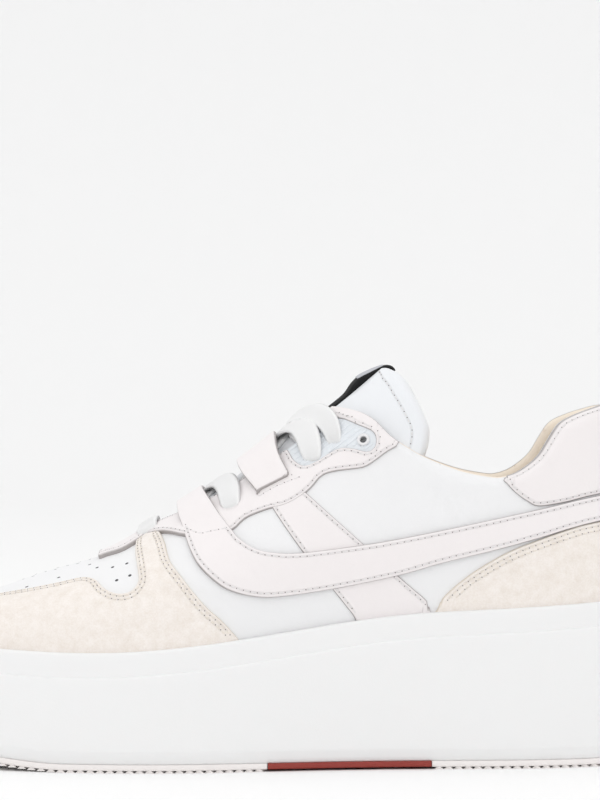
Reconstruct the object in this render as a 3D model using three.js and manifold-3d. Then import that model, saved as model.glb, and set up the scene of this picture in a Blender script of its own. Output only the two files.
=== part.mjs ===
// Platform sneaker, left shoe. Millimetres, +Z up, standing on z = 0.
// The toe points to -X and the heel to +X; the outer (lateral) side faces -Y.
// Stations s are measured along the shoe from the toe tip of the sole.
import * as THREE from 'three';
import Module from 'manifold-3d';

const wasm = await Module();
wasm.setup();
const { Manifold, CrossSection } = wasm;

// ---- driving sizes
const LENGTH = 278; // toe tip to heel end of the sole
const HALF = LENGTH / 2;
const GAP = 0.3; // clearance between neighbouring pieces
const WALL = 2.0; // leather, backing and lining of the upper
const RIM_INSET = 5.0; // sole edge to the outside of the upper
const CUP_DEPTH = 3.0; // depth of the cup the upper stands in
const BAND_HEIGHT = 8.7; // feather line down to the ledge round the midsole
const LEDGE = 0.9; // step of the lower wall beyond the top band
const OUTSOLE_TOP = 2.9;
const WAIST_RAISE = 0.8; // the arch stands clear of the floor
const WAIST_FRONT = 138.5;
const WAIST_BACK = 197.0;
const TOE_SPRING = 9.0;
const TOE_ROLL = 66; // station where the forefoot leaves the floor
const HEEL_BEVEL = 4.0;
const HEEL_ROLL = 258;
const OVERLAY = 1.3; // suede and strap leather
const LACE_LIFT = 0.5;
const LACE_THICK = 1.5;
const LACE_WIDTH = 9.0;
const TONGUE_THICK = 5.0;
const THROAT_START = 90;

// ---- tables
const soleOutline = {
  columns: ['s', 'lateral', 'medial'],
  rows: [
    [3, -7.5, 20.8], [12, -24, 35], [24, -34, 42.6], [40, -42, 47.8],
    [60, -48.2, 50.8], [80, -51.2, 50.2], [98, -52, 47.2], [115, -50.8, 43.2],
    [132, -47.8, 38.8], [150, -44.4, 35], [170, -41.2, 33], [190, -39.3, 33],
    [210, -38.4, 34.2], [230, -37, 35.6], [246, -34.2, 34], [260, -28.8, 29],
    [270, -20.4, 20.8], [275.5, -11.8, 12.2],
  ],
};
const toeTipY = 7;
const heelEndY = 0.3;

const feather = {
  columns: ['s', 'z'],
  rows: [
    [0, 47.5], [12, 45.8], [25, 44.3], [44.5, 43], [64, 42.2], [85, 42.3],
    [105, 43.7], [129, 46.6], [150, 49.8], [164, 52], [191, 55.2], [225, 57],
    [257, 58.9], [278, 60.3],
  ],
};

// Ridge of the closed form the upper is cut from: its height, sideways place,
// squareness of the section and how far the wall swells over the feather line.
const crown = {
  columns: ['s', 'z', 'y', 'square', 'swell'],
  rows: [
    [5, 50.3, 7, 2.2, 0.2], [8, 52, 6.6, 2.2, 0.4], [14, 54.4, 6, 2.25, 0.8],
    [22, 57.2, 5.4, 2.3, 1.2], [30, 59.7, 4.9, 2.35, 1.4], [39.5, 62.4, 4.4, 2.4, 1.5],
    [49, 65.8, 4, 2.4, 1.6], [60, 69.3, 3.6, 2.35, 1.8], [71.5, 72.4, 3.3, 2.3, 2],
    [80, 75.6, 3.1, 2.2, 2.2], [90, 81, 3, 2.1, 2.3], [100, 87.1, 3, 2.05, 2.3],
    [110, 93.3, 3, 2.05, 2.2], [120, 99.9, 2.9, 2.05, 2], [131, 107.9, 2.7, 2.1, 1.7],
    [144, 118, 2.4, 2.2, 1.4], [158, 129.4, 2, 2.35, 1.2], [171, 140.4, 1.6, 2.5, 1.1],
    [185, 152, 1.1, 2.7, 1.2], [202, 164, 0.6, 3, 1.5], [222, 174, 0.2, 3.2, 1.8],
    [245, 180, 0, 3.3, 1.8], [262, 182, 0, 3.3, 1.2], [273, 182.5, 0, 3.3, 0.4],
  ],
};

// Side view of the heel back: how far it stands behind the feather line.
const heelBack = {
  columns: ['z', 'x'],
  rows: [
    [30, 0], [45, 0], [61, 0], [68, 0.8], [77, 1.5], [90, 0.8], [105, -1.4],
    [120, -4.2], [131, -6.4], [150, -9.6], [185, -13],
  ],
};

// Side views [s, z] of the edges cut into the form.
const collarLine = [
  [160, 129], [163, 125.2], [170, 121.8], [177, 119.4], [186, 115.5], [194, 112],
  [201, 109], [209, 106.2], [218, 104.4], [223, 104.2], [229, 106.2], [236, 111.4],
  [240.5, 118], [244.5, 123.4], [250, 126.4], [258.5, 129.2], [267, 131], [290, 132.5],
];
const tongueLine = [
  [84, 54], [84, 110], [150, 170], [168, 160], [171, 144.5], [178, 145.2], [183.5, 144],
  [187.5, 140.4], [191.4, 135], [194.8, 128], [196, 121.5], [195.2, 114], [190, 104],
  [178, 93], [160, 82], [130, 68], [104, 58],
];
const toeGuardLine = [
  [0, 56], [20, 56.8], [32, 59.6], [43, 62.2], [53.5, 64.3], [63.5, 66.4], [71.5, 68.2],
  [76.5, 67.6], [79, 65], [82, 63.4], [86, 62.9], [90.5, 63.6], [92.2, 66.4],
  [92.4, 71], [93, 75.4], [96.4, 77.4], [99.6, 76], [102.6, 73], [108.6, 67],
  [116.4, 59], [123, 53], [128.6, 46.2],
];
const counterLine = [
  [195.4, 54], [197.6, 57.6], [203.6, 63], [209.3, 68], [217.5, 73.2], [225.7, 77.4],
  [233.9, 80.8], [246, 84.6], [257, 87.2], [290, 93.2],
];
const bandUpper = [
  [103.4, 116], [113, 116], [114.6, 99], [118.6, 93.8], [125.7, 84.8], [128.9, 81.3],
  [134.3, 78.4], [141, 77.2], [150.7, 77.2], [172.5, 79.8], [185.7, 82], [203.6, 85.5],
  [220.7, 89.1], [238.9, 93], [257, 97], [290, 101.5],
];
const bandLower = [
  [290, 93.8], [257, 87.9], [235.7, 82], [220.7, 78], [200.7, 73.2], [185, 68.8],
  [161.4, 64.1], [142.9, 61.8], [134.3, 61.8], [125.7, 63.8], [120, 67], [114.3, 72],
  [111.8, 75.2], [108.9, 82.3], [107.4, 87.6], [105.4, 94.4],
];
const keeperLine = [
  [127.6, 126], [140.6, 132], [143.6, 111.6], [146.8, 104], [135, 97.8], [128.4, 107.2],
];
// Laces seen from above: eyelet stations and their distance from the ridge.
const eyelets = {
  columns: ['s', 'reach'],
  rows: [[96, 15.5], [121, 18], [149, 19.5], [162, 20.5]],
};

// ---- curves
// Natural cubic through the points.
function curveThrough(xs, ys) {
  const n = xs.length;
  const bend = new Array(n).fill(0);
  const work = new Array(n).fill(0);
  for (let i = 1; i < n - 1; i++) {
    const part = (xs[i] - xs[i - 1]) / (xs[i + 1] - xs[i - 1]);
    const p = part * bend[i - 1] + 2;
    bend[i] = (part - 1) / p;
    const turn = (ys[i + 1] - ys[i]) / (xs[i + 1] - xs[i]) - (ys[i] - ys[i - 1]) / (xs[i] - xs[i - 1]);
    work[i] = ((6 * turn) / (xs[i + 1] - xs[i - 1]) - part * work[i - 1]) / p;
  }
  for (let i = n - 2; i >= 0; i--) bend[i] = bend[i] * bend[i + 1] + work[i];
  return (x) => {
    let i = 0;
    while (i < n - 2 && x > xs[i + 1]) i++;
    const h = xs[i + 1] - xs[i];
    const a = (xs[i + 1] - x) / h;
    const b = (x - xs[i]) / h;
    return (
      a * ys[i] + b * ys[i + 1] + (((a ** 3 - a) * bend[i] + (b ** 3 - b) * bend[i + 1]) * h * h) / 6
    );
  };
}
const column = (table, name) => table.rows.map((row) => row[table.columns.indexOf(name)]);
const clamp = (x) => Math.min(1, Math.max(0, x));
const ease = (x) => clamp(x) ** 2 * (3 - 2 * clamp(x));

// Round the plan outline: u = 0 at the toe tip, PI at the heel end, lateral side first.
const turnOf = (s) => Math.acos(1 - (2 * s) / LENGTH);
const lateralTurns = column(soleOutline, 's').map(turnOf);
const roundTurns = [
  0, ...lateralTurns, Math.PI, ...lateralTurns.map((u) => 2 * Math.PI - u).reverse(),
];
const roundYs = [
  toeTipY, ...column(soleOutline, 'lateral'), heelEndY, ...column(soleOutline, 'medial').reverse(),
];
const outlineY = curveThrough(
  [-1, 0, 1].flatMap((lap) => roundTurns.map((u) => u + lap * 2 * Math.PI)),
  [...roundYs, ...roundYs, ...roundYs],
);
function outlinePoint(u, inset) {
  const at = (v) => [HALF * (1 - Math.cos(v)), outlineY(v)];
  const [s, y] = at(u);
  const [s0, y0] = at(u - 0.01);
  const [s1, y1] = at(u + 0.01);
  const long = Math.hypot(s1 - s0, y1 - y0);
  return [s - ((y1 - y0) / long) * inset, y + ((s1 - s0) / long) * inset];
}

const featherZ = curveThrough(column(feather, 's'), column(feather, 'z'));
const heelLean = curveThrough(column(heelBack, 'z'), column(heelBack, 'x'));

// Station of the form's ridge for a turn u, and the crown columns against the turn.
const ridgeStation = (u) =>
  (outlinePoint(u, RIM_INSET)[0] + outlinePoint(2 * Math.PI - u, RIM_INSET)[0]) / 2;
function turnAt(s) {
  let low = 0;
  let high = Math.PI;
  for (let i = 0; i < 40; i++) {
    const mid = (low + high) / 2;
    if (ridgeStation(mid) < s) low = mid;
    else high = mid;
  }
  return (low + high) / 2;
}
const crownTurns = column(crown, 's').map(turnAt);
const [crownZ, crownY, crownSquare, crownSwell] = ['z', 'y', 'square', 'swell'].map((name) =>
  curveThrough(crownTurns, column(crown, name)),
);

// A point of the form: u is the turn (0 toe, PI heel), a runs from the lateral
// feather line (-1) over the ridge (0) to the medial feather line (1).
function formPoint(u, a) {
  const [edgeS, edgeY] = outlinePoint(a < 0 ? u : 2 * Math.PI - u, RIM_INSET);
  const ridgeS = ridgeStation(u);
  const square = crownSquare(u);
  const angle = ((1 - Math.abs(a)) * Math.PI) / 2;
  const out = Math.max(0, Math.cos(angle)) ** (2 / square);
  const up = Math.sin(angle) ** (2 / square);
  const ridgeY = crownY(u);
  const bottom = featherZ(edgeS);
  const z = bottom + (crownZ(u) - bottom) * up;
  const swell = crownSwell(u) * Math.sin(Math.PI * Math.min(1, (z - bottom) / 44)) ** 2;
  const s = ridgeS + (edgeS - ridgeS) * out;
  const lean = heelLean(z) * ease((ridgeS - 190) / 82);
  return new THREE.Vector3(
    s + lean - HALF,
    ridgeY + (edgeY - ridgeY) * out + Math.sign(a) * swell,
    z,
  );
}
const ROWS = 42;
const RIBS = 24;
const END_TURN = 0.05;
const turns = Array.from(
  { length: ROWS + 1 },
  (_, i) => END_TURN + ((Math.PI - 2 * END_TURN) * i) / ROWS,
);
const across = Array.from({ length: RIBS + 1 }, (_, j) => -1 + (2 * j) / RIBS);
// Outward direction of the form at a point, from its neighbours.
function formNormal(u, a) {
  const step = 0.012;
  const p = formPoint(Math.min(Math.PI - 0.001, u + step), a);
  const q = formPoint(Math.max(0.001, u - step), a);
  const m = formPoint(u, Math.min(0.9999, a + step));
  const n = formPoint(u, Math.max(-0.9999, a - step));
  return m.sub(n).cross(p.sub(q)).normalize().negate();
}
const skin = turns.map((u) =>
  across.map((a) => ({ at: formPoint(u, a), out: formNormal(u, a), ridge: crownY(u) })),
);

// Closed solid from rings of points, each ring given lateral side first.
function solidOfRings(rings) {
  const count = rings[0].length;
  const points = [];
  const faces = [];
  for (const ring of rings) for (const p of ring) points.push(p.x, p.y, p.z);
  const id = (i, j) => i * count + (j % count);
  for (let i = 0; i < rings.length - 1; i++)
    for (let j = 0; j < count; j++) {
      faces.push(id(i, j), id(i + 1, j), id(i, j + 1));
      faces.push(id(i, j + 1), id(i + 1, j), id(i + 1, j + 1));
    }
  const cap = (i, flip) => {
    for (let j = 0; j < Math.ceil(count / 2) - 1; j++) {
      const quad = [id(i, j), id(i, j + 1), id(i, count - 2 - j), id(i, count - 1 - j)];
      for (const tri of [[0, 1, 2], [0, 2, 3]]) {
        const t = tri.map((k) => quad[k]);
        if (new Set(t).size < 3) continue;
        if (flip) t.reverse();
        faces.push(...t);
      }
    }
  };
  cap(0, false);
  cap(rings.length - 1, true);
  const mesh = () =>
    new wasm.Mesh({
      numProp: 3,
      vertProperties: new Float32Array(points),
      triVerts: new Uint32Array(faces),
    });
  let solid = new Manifold(mesh());
  if (solid.volume() < 0) {
    for (let k = 0; k < faces.length; k += 3) [faces[k], faces[k + 1]] = [faces[k + 1], faces[k]];
    solid = new Manifold(mesh());
  }
  return solid;
}

// The form grown by an offset, its walls carried down below the feather line.
function form(offset, drop) {
  const grow = typeof offset === 'number' ? () => offset : offset;
  return solidOfRings(
    skin.map((row) => {
      const ring = row.map(({ at, out, ridge }) =>
        at.clone().addScaledVector(out, grow(Math.abs(at.y - ridge), at)),
      );
      const down = (p) => new THREE.Vector3(p.x, p.y, p.z - drop);
      return [down(ring[0]), ...ring, down(ring[ring.length - 1])];
    }),
  );
}
const shell = (inner, outer, drop = 0.01) => form(outer, drop).subtract(form(inner, drop + 14));

// Cutters: a side view carried through the shoe, and a plan carried upwards.
const sideCut = (line) =>
  Manifold.extrude(new CrossSection([line.map(([s, z]) => [s - HALF, z])], 'NonZero'), 200)
    .rotate([90, 0, 0])
    .translate([0, 100, 0]);
const planCut = (line, low, high) =>
  Manifold.extrude(new CrossSection([line.map(([s, y]) => [s - HALF, y])], 'NonZero'), high - low)
    .translate([0, 0, low]);

// Keeps the largest body and drops crumbs.
const oneBody = (solid) =>
  solid.simplify(0.012).decompose().sort((p, q) => q.volume() - p.volume())[0];

// ---- sole, built as rings round the plan outline
const ringTurns = [...turns, ...turns.map((u) => 2 * Math.PI - u).reverse()];
function soleRing(inset, height) {
  return ringTurns.map((u) => {
    const [s, y] = outlinePoint(u, inset);
    return new THREE.Vector3(s - HALF, y, height(s));
  });
}
const roll = (s) =>
  TOE_SPRING * clamp((TOE_ROLL - s) / TOE_ROLL) ** 1.5 +
  HEEL_BEVEL * clamp((s - HEEL_ROLL) / (LENGTH - HEEL_ROLL)) ** 1.5;

const outsoleAll = solidOfRings([
  soleRing(0.9, (s) => roll(s)),
  soleRing(0.2, (s) => roll(s) + 0.7),
  soleRing(0, (s) => roll(s) + OUTSOLE_TOP),
]);
const slice = (from, to) =>
  Manifold.cube([to - from, 200, 60]).translate([from - HALF, -100, -5]);
const groove = (s, wide, deep) =>
  Manifold.cube([wide, 200, 10 + deep]).translate([s - HALF - wide / 2, -100, -10]);
const cutGrooves = (solid, stations, wide, deep) =>
  stations.reduce((rest, s) => rest.subtract(groove(s, wide, deep)), solid);

const outsoleForefoot = cutGrooves(
  outsoleAll.intersect(slice(-5, WAIST_FRONT - GAP / 2)), [72, 86, 100, 114, 127], 3, 1.4,
);
const outsoleHeel = cutGrooves(
  outsoleAll.intersect(slice(WAIST_BACK + GAP / 2, LENGTH + 5)), [208, 222, 236, 250], 3, 1.4,
);
const outsoleWaist = outsoleAll
  .intersect(slice(WAIST_FRONT + GAP / 2, WAIST_BACK - GAP / 2))
  .subtract(groove((WAIST_FRONT + WAIST_BACK) / 2, 90, WAIST_RAISE));

const midsole = solidOfRings([
  soleRing(0.7, (s) => roll(s) + OUTSOLE_TOP + GAP),
  soleRing(0.1, (s) => roll(s) + OUTSOLE_TOP + GAP + 1),
  soleRing(-0.6, (s) => roll(s) + OUTSOLE_TOP + 4.2),
  soleRing(0, (s) => featherZ(s) - BAND_HEIGHT - 0.8),
  soleRing(0.2, (s) => featherZ(s) - BAND_HEIGHT - 0.2),
  soleRing(LEDGE + 0.1, (s) => featherZ(s) - BAND_HEIGHT),
  soleRing(LEDGE + 0.3, (s) => featherZ(s) - 1.2),
  soleRing(LEDGE + 1.1, (s) => featherZ(s) - 0.1),
  soleRing(RIM_INSET - GAP - 0.1, (s) => featherZ(s)),
  soleRing(RIM_INSET - GAP, (s) => featherZ(s) - CUP_DEPTH),
]);

// ---- insole, dished, inside the upper
const insoleInset = RIM_INSET + WALL + GAP + 0.3;
const insoleBase = CUP_DEPTH - GAP;
const insole = solidOfRings([
  soleRing(insoleInset, (s) => featherZ(s) - insoleBase),
  soleRing(insoleInset, (s) => featherZ(s) + 1.2),
  soleRing(insoleInset + 1.2, (s) => featherZ(s) + 1.6),
  soleRing(insoleInset + 9, (s) => featherZ(s) + 0.4),
]);

// ---- upper: hollow, open underneath, cut away at the collar and the throat
const throatHalf = [
  [THROAT_START, 0], [91, 5], [93.4, 9], [97, 11.6], [103, 13.4], [120, 16.6], [135, 18.6],
  [150, 19.8], [172, 21.5],
];
const throatCut = planCut(
  [
    ...throatHalf.map(([s, w]) => [s, crownY(turnAt(s)) - w]),
    ...throatHalf.slice(1).map(([s, w]) => [s, crownY(turnAt(s)) + w]).reverse(),
  ],
  64,
  260,
);
const collarCut = sideCut([...collarLine, [290, 260], [140, 260], [140, 150]]);
const upper = form(0, CUP_DEPTH - GAP)
  .subtract(form(-WALL, CUP_DEPTH + 12))
  .subtract(collarCut)
  .subtract(throatCut);

// ---- tongue and its woven tab
const tongue = shell(-(WALL + GAP + TONGUE_THICK), -(WALL + GAP)).intersect(sideCut(tongueLine));
const tabRows = [[160.5, 13], [176.5, 13]];
const tongueTab = shell(-WALL, -WALL + 1.2).intersect(
  planCut(
    [
      ...tabRows.map(([s, w]) => [s, crownY(turnAt(s)) - w]),
      ...tabRows.map(([s, w]) => [s, crownY(turnAt(s)) + w]).reverse(),
    ],
    100,
    260,
  ),
);

// ---- suede overlays, cut between two larger forms
const overlayShell = shell(GAP, GAP + OVERLAY, 0.01);
const aboveFeather = (line, from, to) => {
  const lower = [];
  for (let s = from; s <= to; s += 8) lower.push([s, featherZ(Math.min(s, LENGTH)) + GAP]);
  lower.push([to, featherZ(Math.min(to, LENGTH)) + GAP]);
  return [...line, ...lower.reverse()];
};
const toeGuard = overlayShell.intersect(
  sideCut(aboveFeather([[-8, 56], ...toeGuardLine.slice(1, -1)], -8, 127.5)),
);
const heelCounter = overlayShell.intersect(sideCut(aboveFeather(counterLine.slice(1), 195.8, 290)));

// ---- straps: low on the sides, lifted over the laces at the throat
const lifted = (low, high) => (fromRidge, at) =>
  low + (high - low) * ease((31 - fromRidge) / 7) * ease((165 - HALF - at.x) / 10);
const strapInner = LACE_LIFT + LACE_THICK + 0.4;
const strapShell = form(lifted(GAP + OVERLAY, strapInner + OVERLAY), 0.01).subtract(
  form(lifted(GAP, strapInner), 14),
);
const sideBand = strapShell.intersect(
  sideCut([...bandUpper, ...bandLower.map(([s, z]) => [s, s > 195 ? z + GAP : z])]),
);
const keeperStrap = strapShell.intersect(sideCut(keeperLine));

// ---- laces: bottom bar and three crossings, joined where they meet
const [low, , , high] = eyelets.rows;
function laceBand(fromEyelet, toEyelet, side) {
  const a = new THREE.Vector2(fromEyelet[0], crownY(turnAt(fromEyelet[0])) + side * fromEyelet[1]);
  const b = new THREE.Vector2(toEyelet[0], crownY(turnAt(toEyelet[0])) - side * toEyelet[1]);
  const along = b.clone().sub(a).normalize().multiplyScalar(LACE_WIDTH / 4);
  const wide = new THREE.Vector2(-along.y, along.x).setLength(LACE_WIDTH / 2.6);
  const corner = (p, k, w) => [p.x + k * along.x + w * wide.x, p.y + k * along.y + w * wide.y];
  return planCut([corner(a, -1, -1), corner(b, 1, -1), corner(b, 1, 1), corner(a, -1, 1)], 64, 260);
}
const laceCuts = [laceBand([low[0], low[1]], [low[0], low[1]], 1)];
for (let i = 0; i < eyelets.rows.length - 1; i++)
  for (const side of [-1, 1]) laceCuts.push(laceBand(eyelets.rows[i], eyelets.rows[i + 1], side));
const laces = shell(LACE_LIFT, LACE_LIFT + LACE_THICK).intersect(Manifold.union(laceCuts));

// ---- materials and meshes
const finish = (color, roughness) => new THREE.MeshStandardMaterial({ color, roughness });
const whiteLeather = finish(0xefeff0, 0.5);
const pinkLeather = finish(0xf1ebeb, 0.5);
const suede = finish(0xf0e6da, 0.9);
const foamRubber = finish(0xececec, 0.6);
const treadRubber = finish(0xe8e2e0, 0.65);
const redRubber = finish(0x9b3729, 0.6);
const liningCloth = finish(0xf3e4d6, 0.95);
const webbing = finish(0x262626, 0.85);
const cotton = finish(0xf4f4f4, 0.9);

// The origin lies under the middle of the whole shoe.
const soleBox = midsole.boundingBox();
const middle = [0, 1, 2].map((k) => (k < 2 ? (soleBox.min[k] + soleBox.max[k]) / 2 : 0));

const shoe = new THREE.Group();
function add(name, solid, material) {
  const { vertProperties, triVerts, numProp } = oneBody(solid).getMesh();
  const positions = new Float32Array((vertProperties.length / numProp) * 3);
  for (let i = 0; i < positions.length / 3; i++)
    for (let k = 0; k < 3; k++)
      positions[3 * i + k] = vertProperties[numProp * i + k] - middle[k];
  const geometry = new THREE.BufferGeometry();
  geometry.setAttribute('position', new THREE.BufferAttribute(positions, 3));
  geometry.setIndex(new THREE.BufferAttribute(new Uint32Array(triVerts), 1));
  const flat = geometry.toNonIndexed();
  flat.computeVertexNormals();
  const mesh = new THREE.Mesh(flat, material);
  mesh.name = name;
  shoe.add(mesh);
}
add('outsole_forefoot', outsoleForefoot, treadRubber);
add('outsole_waist', outsoleWaist, redRubber);
add('outsole_heel', outsoleHeel, treadRubber);
add('midsole', midsole, foamRubber);
add('insole', insole, liningCloth);
add('upper', upper, whiteLeather);
add('tongue', tongue, whiteLeather);
add('tongue_tab', tongueTab, webbing);
add('toe_guard', toeGuard, suede);
add('heel_counter', heelCounter, suede);
add('side_band', sideBand, pinkLeather);
add('keeper_strap', keeperStrap, pinkLeather);
add('laces', laces, cotton);

export default shoe;
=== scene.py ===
import math

import bpy
import numpy as np
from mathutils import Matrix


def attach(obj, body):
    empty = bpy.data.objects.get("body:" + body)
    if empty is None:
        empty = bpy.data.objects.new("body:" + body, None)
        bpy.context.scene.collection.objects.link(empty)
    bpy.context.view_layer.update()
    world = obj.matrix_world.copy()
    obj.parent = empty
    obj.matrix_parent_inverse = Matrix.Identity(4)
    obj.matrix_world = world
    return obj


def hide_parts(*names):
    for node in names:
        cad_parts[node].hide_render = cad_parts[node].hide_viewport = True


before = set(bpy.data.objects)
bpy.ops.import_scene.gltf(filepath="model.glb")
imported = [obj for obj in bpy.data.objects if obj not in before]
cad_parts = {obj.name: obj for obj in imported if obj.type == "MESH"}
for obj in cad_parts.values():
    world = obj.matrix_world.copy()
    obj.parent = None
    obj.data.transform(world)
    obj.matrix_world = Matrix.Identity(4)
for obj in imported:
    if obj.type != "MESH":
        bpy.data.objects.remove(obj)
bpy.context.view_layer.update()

# ---- Camera
# Level and square to the outer side of the shoe, a little above half its height.
# The frame is tight, so the toe tip and the heel end run out of it.
camera_data = bpy.data.cameras.new("camera")
camera_data.sensor_width = 36
camera_data.lens = 138.6
camera = bpy.data.objects.new("camera", camera_data)
camera.location = (0.011, -1.136, 0.1316)
camera.rotation_euler = (math.pi / 2, 0, 0)
bpy.context.scene.collection.objects.link(camera)
bpy.context.scene.camera = camera

# ---- Floor and light
# A pale seamless dish all round the shoe, lit by large soft boxes and a white surround.


def linear(code):
    """An sRGB hex colour such as 'f4f0ea' as linear red, green, blue, alpha."""
    parts = [int(code[k:k + 2], 16) / 255 for k in (0, 2, 4)]
    return [p / 12.92 if p <= 0.04045 else ((p + 0.055) / 1.055) ** 2.4 for p in parts] + [1.0]


def add_node(tree, kind, settings=None, links=None):
    """One node with its settings; links maps a socket to a value or to the socket that feeds it."""
    node = tree.nodes.new(kind)
    for name, value in (settings or {}).items():
        setattr(node, name, value)
    for socket, value in (links or {}).items():
        if isinstance(value, bpy.types.NodeSocket):
            tree.links.new(value, node.inputs[socket])
        else:
            node.inputs[socket].default_value = value
    return node


def new_material(name, settings):
    """A material whose surface is one Principled shader with these constant sockets."""
    material = bpy.data.materials.new(name)
    material.use_nodes = True
    tree = material.node_tree
    tree.nodes.clear()
    shader = add_node(tree, "ShaderNodeBsdfPrincipled", links=settings)
    add_node(tree, "ShaderNodeOutputMaterial", links={"Surface": shader.outputs[0]})
    return material, tree, shader


# Matt wall paint, so the backdrop shows no shine and no edge.
wall_paint = new_material(
    "painted_white_dish", {"Base Color": linear("f8f8f8"), "Roughness": 0.9})[0]
DISH_FLAT, DISH_BEND, DISH_HEIGHT, DISH_SIDES = 2.6, 0.7, 1.5, 96
dish_side = [(0.02, 0.0), (1.2, 0.0)] + [
    (DISH_FLAT + DISH_BEND * math.sin(t), DISH_BEND - DISH_BEND * math.cos(t))
    for t in np.linspace(0, math.pi / 2, 24)] + [(DISH_FLAT + DISH_BEND, DISH_HEIGHT)]
dish_mesh = bpy.data.meshes.new("dish")
dish_turns = [2 * math.pi * k / DISH_SIDES for k in range(DISH_SIDES)]
dish_faces = [list(range(DISH_SIDES))]
for start in range(0, (len(dish_side) - 1) * DISH_SIDES, DISH_SIDES):
    for k in range(DISH_SIDES):
        a, b = start + k, start + (k + 1) % DISH_SIDES
        dish_faces.append((a, a + DISH_SIDES, b + DISH_SIDES, b))
dish_mesh.from_pydata([(r * math.cos(turn), r * math.sin(turn), z) for r, z in dish_side
                       for turn in dish_turns], [], dish_faces)
dish_mesh.shade_smooth()
dish_mesh.materials.append(wall_paint)
dish = bpy.data.objects.new("dish", dish_mesh)
bpy.context.scene.collection.objects.link(dish)

for name, place, aim, size, power in (
        ("overhead_box", (0.0, -0.25, 1.35), (0.0, 0.0, 0.05), 1.5, 1.6),
        ("side_box", (-1.1, -1.0, 0.75), (0.0, 0.0, 0.07), 0.9, 1.3),
        ("fill_box", (1.2, -0.9, 0.55), (0.0, 0.0, 0.07), 0.9, 0.6)):
    lamp = bpy.data.lights.new(name, "AREA")
    lamp.shape, lamp.size, lamp.energy = "SQUARE", size, power
    lamp_object = bpy.data.objects.new(name, lamp)
    lamp_object.location = place
    way = np.array(aim) - np.array(place)
    lamp_object.rotation_euler = (
        math.atan2(math.hypot(way[0], way[1]), -way[2]), 0, math.atan2(way[1], way[0]) - math.pi / 2)
    bpy.context.scene.collection.objects.link(lamp_object)
surround = bpy.data.worlds.new("white_surround")
surround.use_nodes = True
surround.node_tree.nodes["Background"].inputs[0].default_value = (1, 1, 1, 1)
surround.node_tree.nodes["Background"].inputs[1].default_value = 1.015
bpy.context.scene.world = surround
bpy.context.scene.view_settings.view_transform = "Standard"

# ---- Midsole
# Platform cupsole moulded in white foam rubber: a tall wall with a ledge round it,
# a band above the ledge and a rim that forms the cup the upper is cemented into.
# Stations s run in mm from the toe tip of the sole to its heel end.
LENGTH, HALF = 278.0, 139.0
MIDDLE = (0.0, -0.6)
RIM_INSET, CUP_DEPTH, BAND_HEIGHT, LEDGE = 5.0, 3.0, 8.7, 0.9
OUTSOLE_TOP, WAIST_RAISE, WAIST_FRONT, WAIST_BACK = 2.9, 0.8, 138.5, 197.0
TOE_SPRING, TOE_ROLL, HEEL_BEVEL, HEEL_ROLL = 9.0, 66.0, 4.0, 258.0
sole_outline = [  # s, lateral y, medial y
    (3, -7.5, 20.8), (12, -24, 35), (24, -34, 42.6), (40, -42, 47.8),
    (60, -48.2, 50.8), (80, -51.2, 50.2), (98, -52, 47.2), (115, -50.8, 43.2),
    (132, -47.8, 38.8), (150, -44.4, 35), (170, -41.2, 33), (190, -39.3, 33),
    (210, -38.4, 34.2), (230, -37, 35.6), (246, -34.2, 34), (260, -28.8, 29),
    (270, -20.4, 20.8), (275.5, -11.8, 12.2)]
feather_rows = [  # s, height of the feather line
    (0, 47.5), (12, 45.8), (25, 44.3), (44.5, 43), (64, 42.2), (85, 42.3),
    (105, 43.7), (129, 46.6), (150, 49.8), (164, 52), (191, 55.2), (225, 57),
    (257, 58.9), (278, 60.3)]


def curve_through(xs, ys):
    """Natural cubic through the points, as a function of an array."""
    xs, ys = np.asarray(xs, float), np.asarray(ys, float)
    step = np.diff(xs)
    count = len(xs)
    table, right = np.eye(count), np.zeros(count)
    for i in range(1, count - 1):
        table[i, i - 1:i + 2] = step[i - 1], 2 * (step[i - 1] + step[i]), step[i]
        right[i] = 6 * ((ys[i + 1] - ys[i]) / step[i] - (ys[i] - ys[i - 1]) / step[i - 1])
    bend = np.linalg.solve(table, right)

    def value(x):
        x = np.asarray(x, float)
        i = np.clip(np.searchsorted(xs, x, side="right") - 1, 0, count - 2)
        h = step[i]
        a, b = (xs[i + 1] - x) / h, (x - xs[i]) / h
        return (a * ys[i] + b * ys[i + 1]
                + ((a ** 3 - a) * bend[i] + (b ** 3 - b) * bend[i + 1]) * h * h / 6)
    return value


def ease(x):
    x = np.clip(x, 0, 1)
    return x * x * (3 - 2 * x)


feather_z = curve_through(*zip(*feather_rows))
side_turns = [math.acos(1 - 2 * row[0] / LENGTH) for row in sole_outline]
round_turns = np.array([0] + side_turns + [math.pi] + [2 * math.pi - t for t in side_turns[::-1]])
round_ys = [7] + [row[1] for row in sole_outline] + [0.3] + [row[2] for row in sole_outline[::-1]]
outline_y = curve_through(
    np.concatenate([round_turns + lap * 2 * math.pi for lap in (-1, 0, 1)]), round_ys * 3)


def outline_point(u, inset):
    """Station and side of the sole edge at turn u (0 toe, pi heel, lateral side first), moved in."""
    u = np.asarray(u, float)
    s, y = HALF * (1 - np.cos(u)), outline_y(u)
    ds = HALF * (np.cos(u - 0.01) - np.cos(u + 0.01))
    dy = outline_y(u + 0.01) - outline_y(u - 0.01)
    run = np.hypot(ds, dy)
    return s - dy / run * inset, y + ds / run * inset


def roll(s):
    return (TOE_SPRING * np.clip((TOE_ROLL - s) / TOE_ROLL, 0, 1) ** 1.5
            + HEEL_BEVEL * np.clip((s - HEEL_ROLL) / (LENGTH - HEEL_ROLL), 0, 1) ** 1.5)


def to_metres(points):
    points = np.asarray(points, float)
    return (points - (HALF + MIDDLE[0], MIDDLE[1], 0)) / 1000


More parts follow.
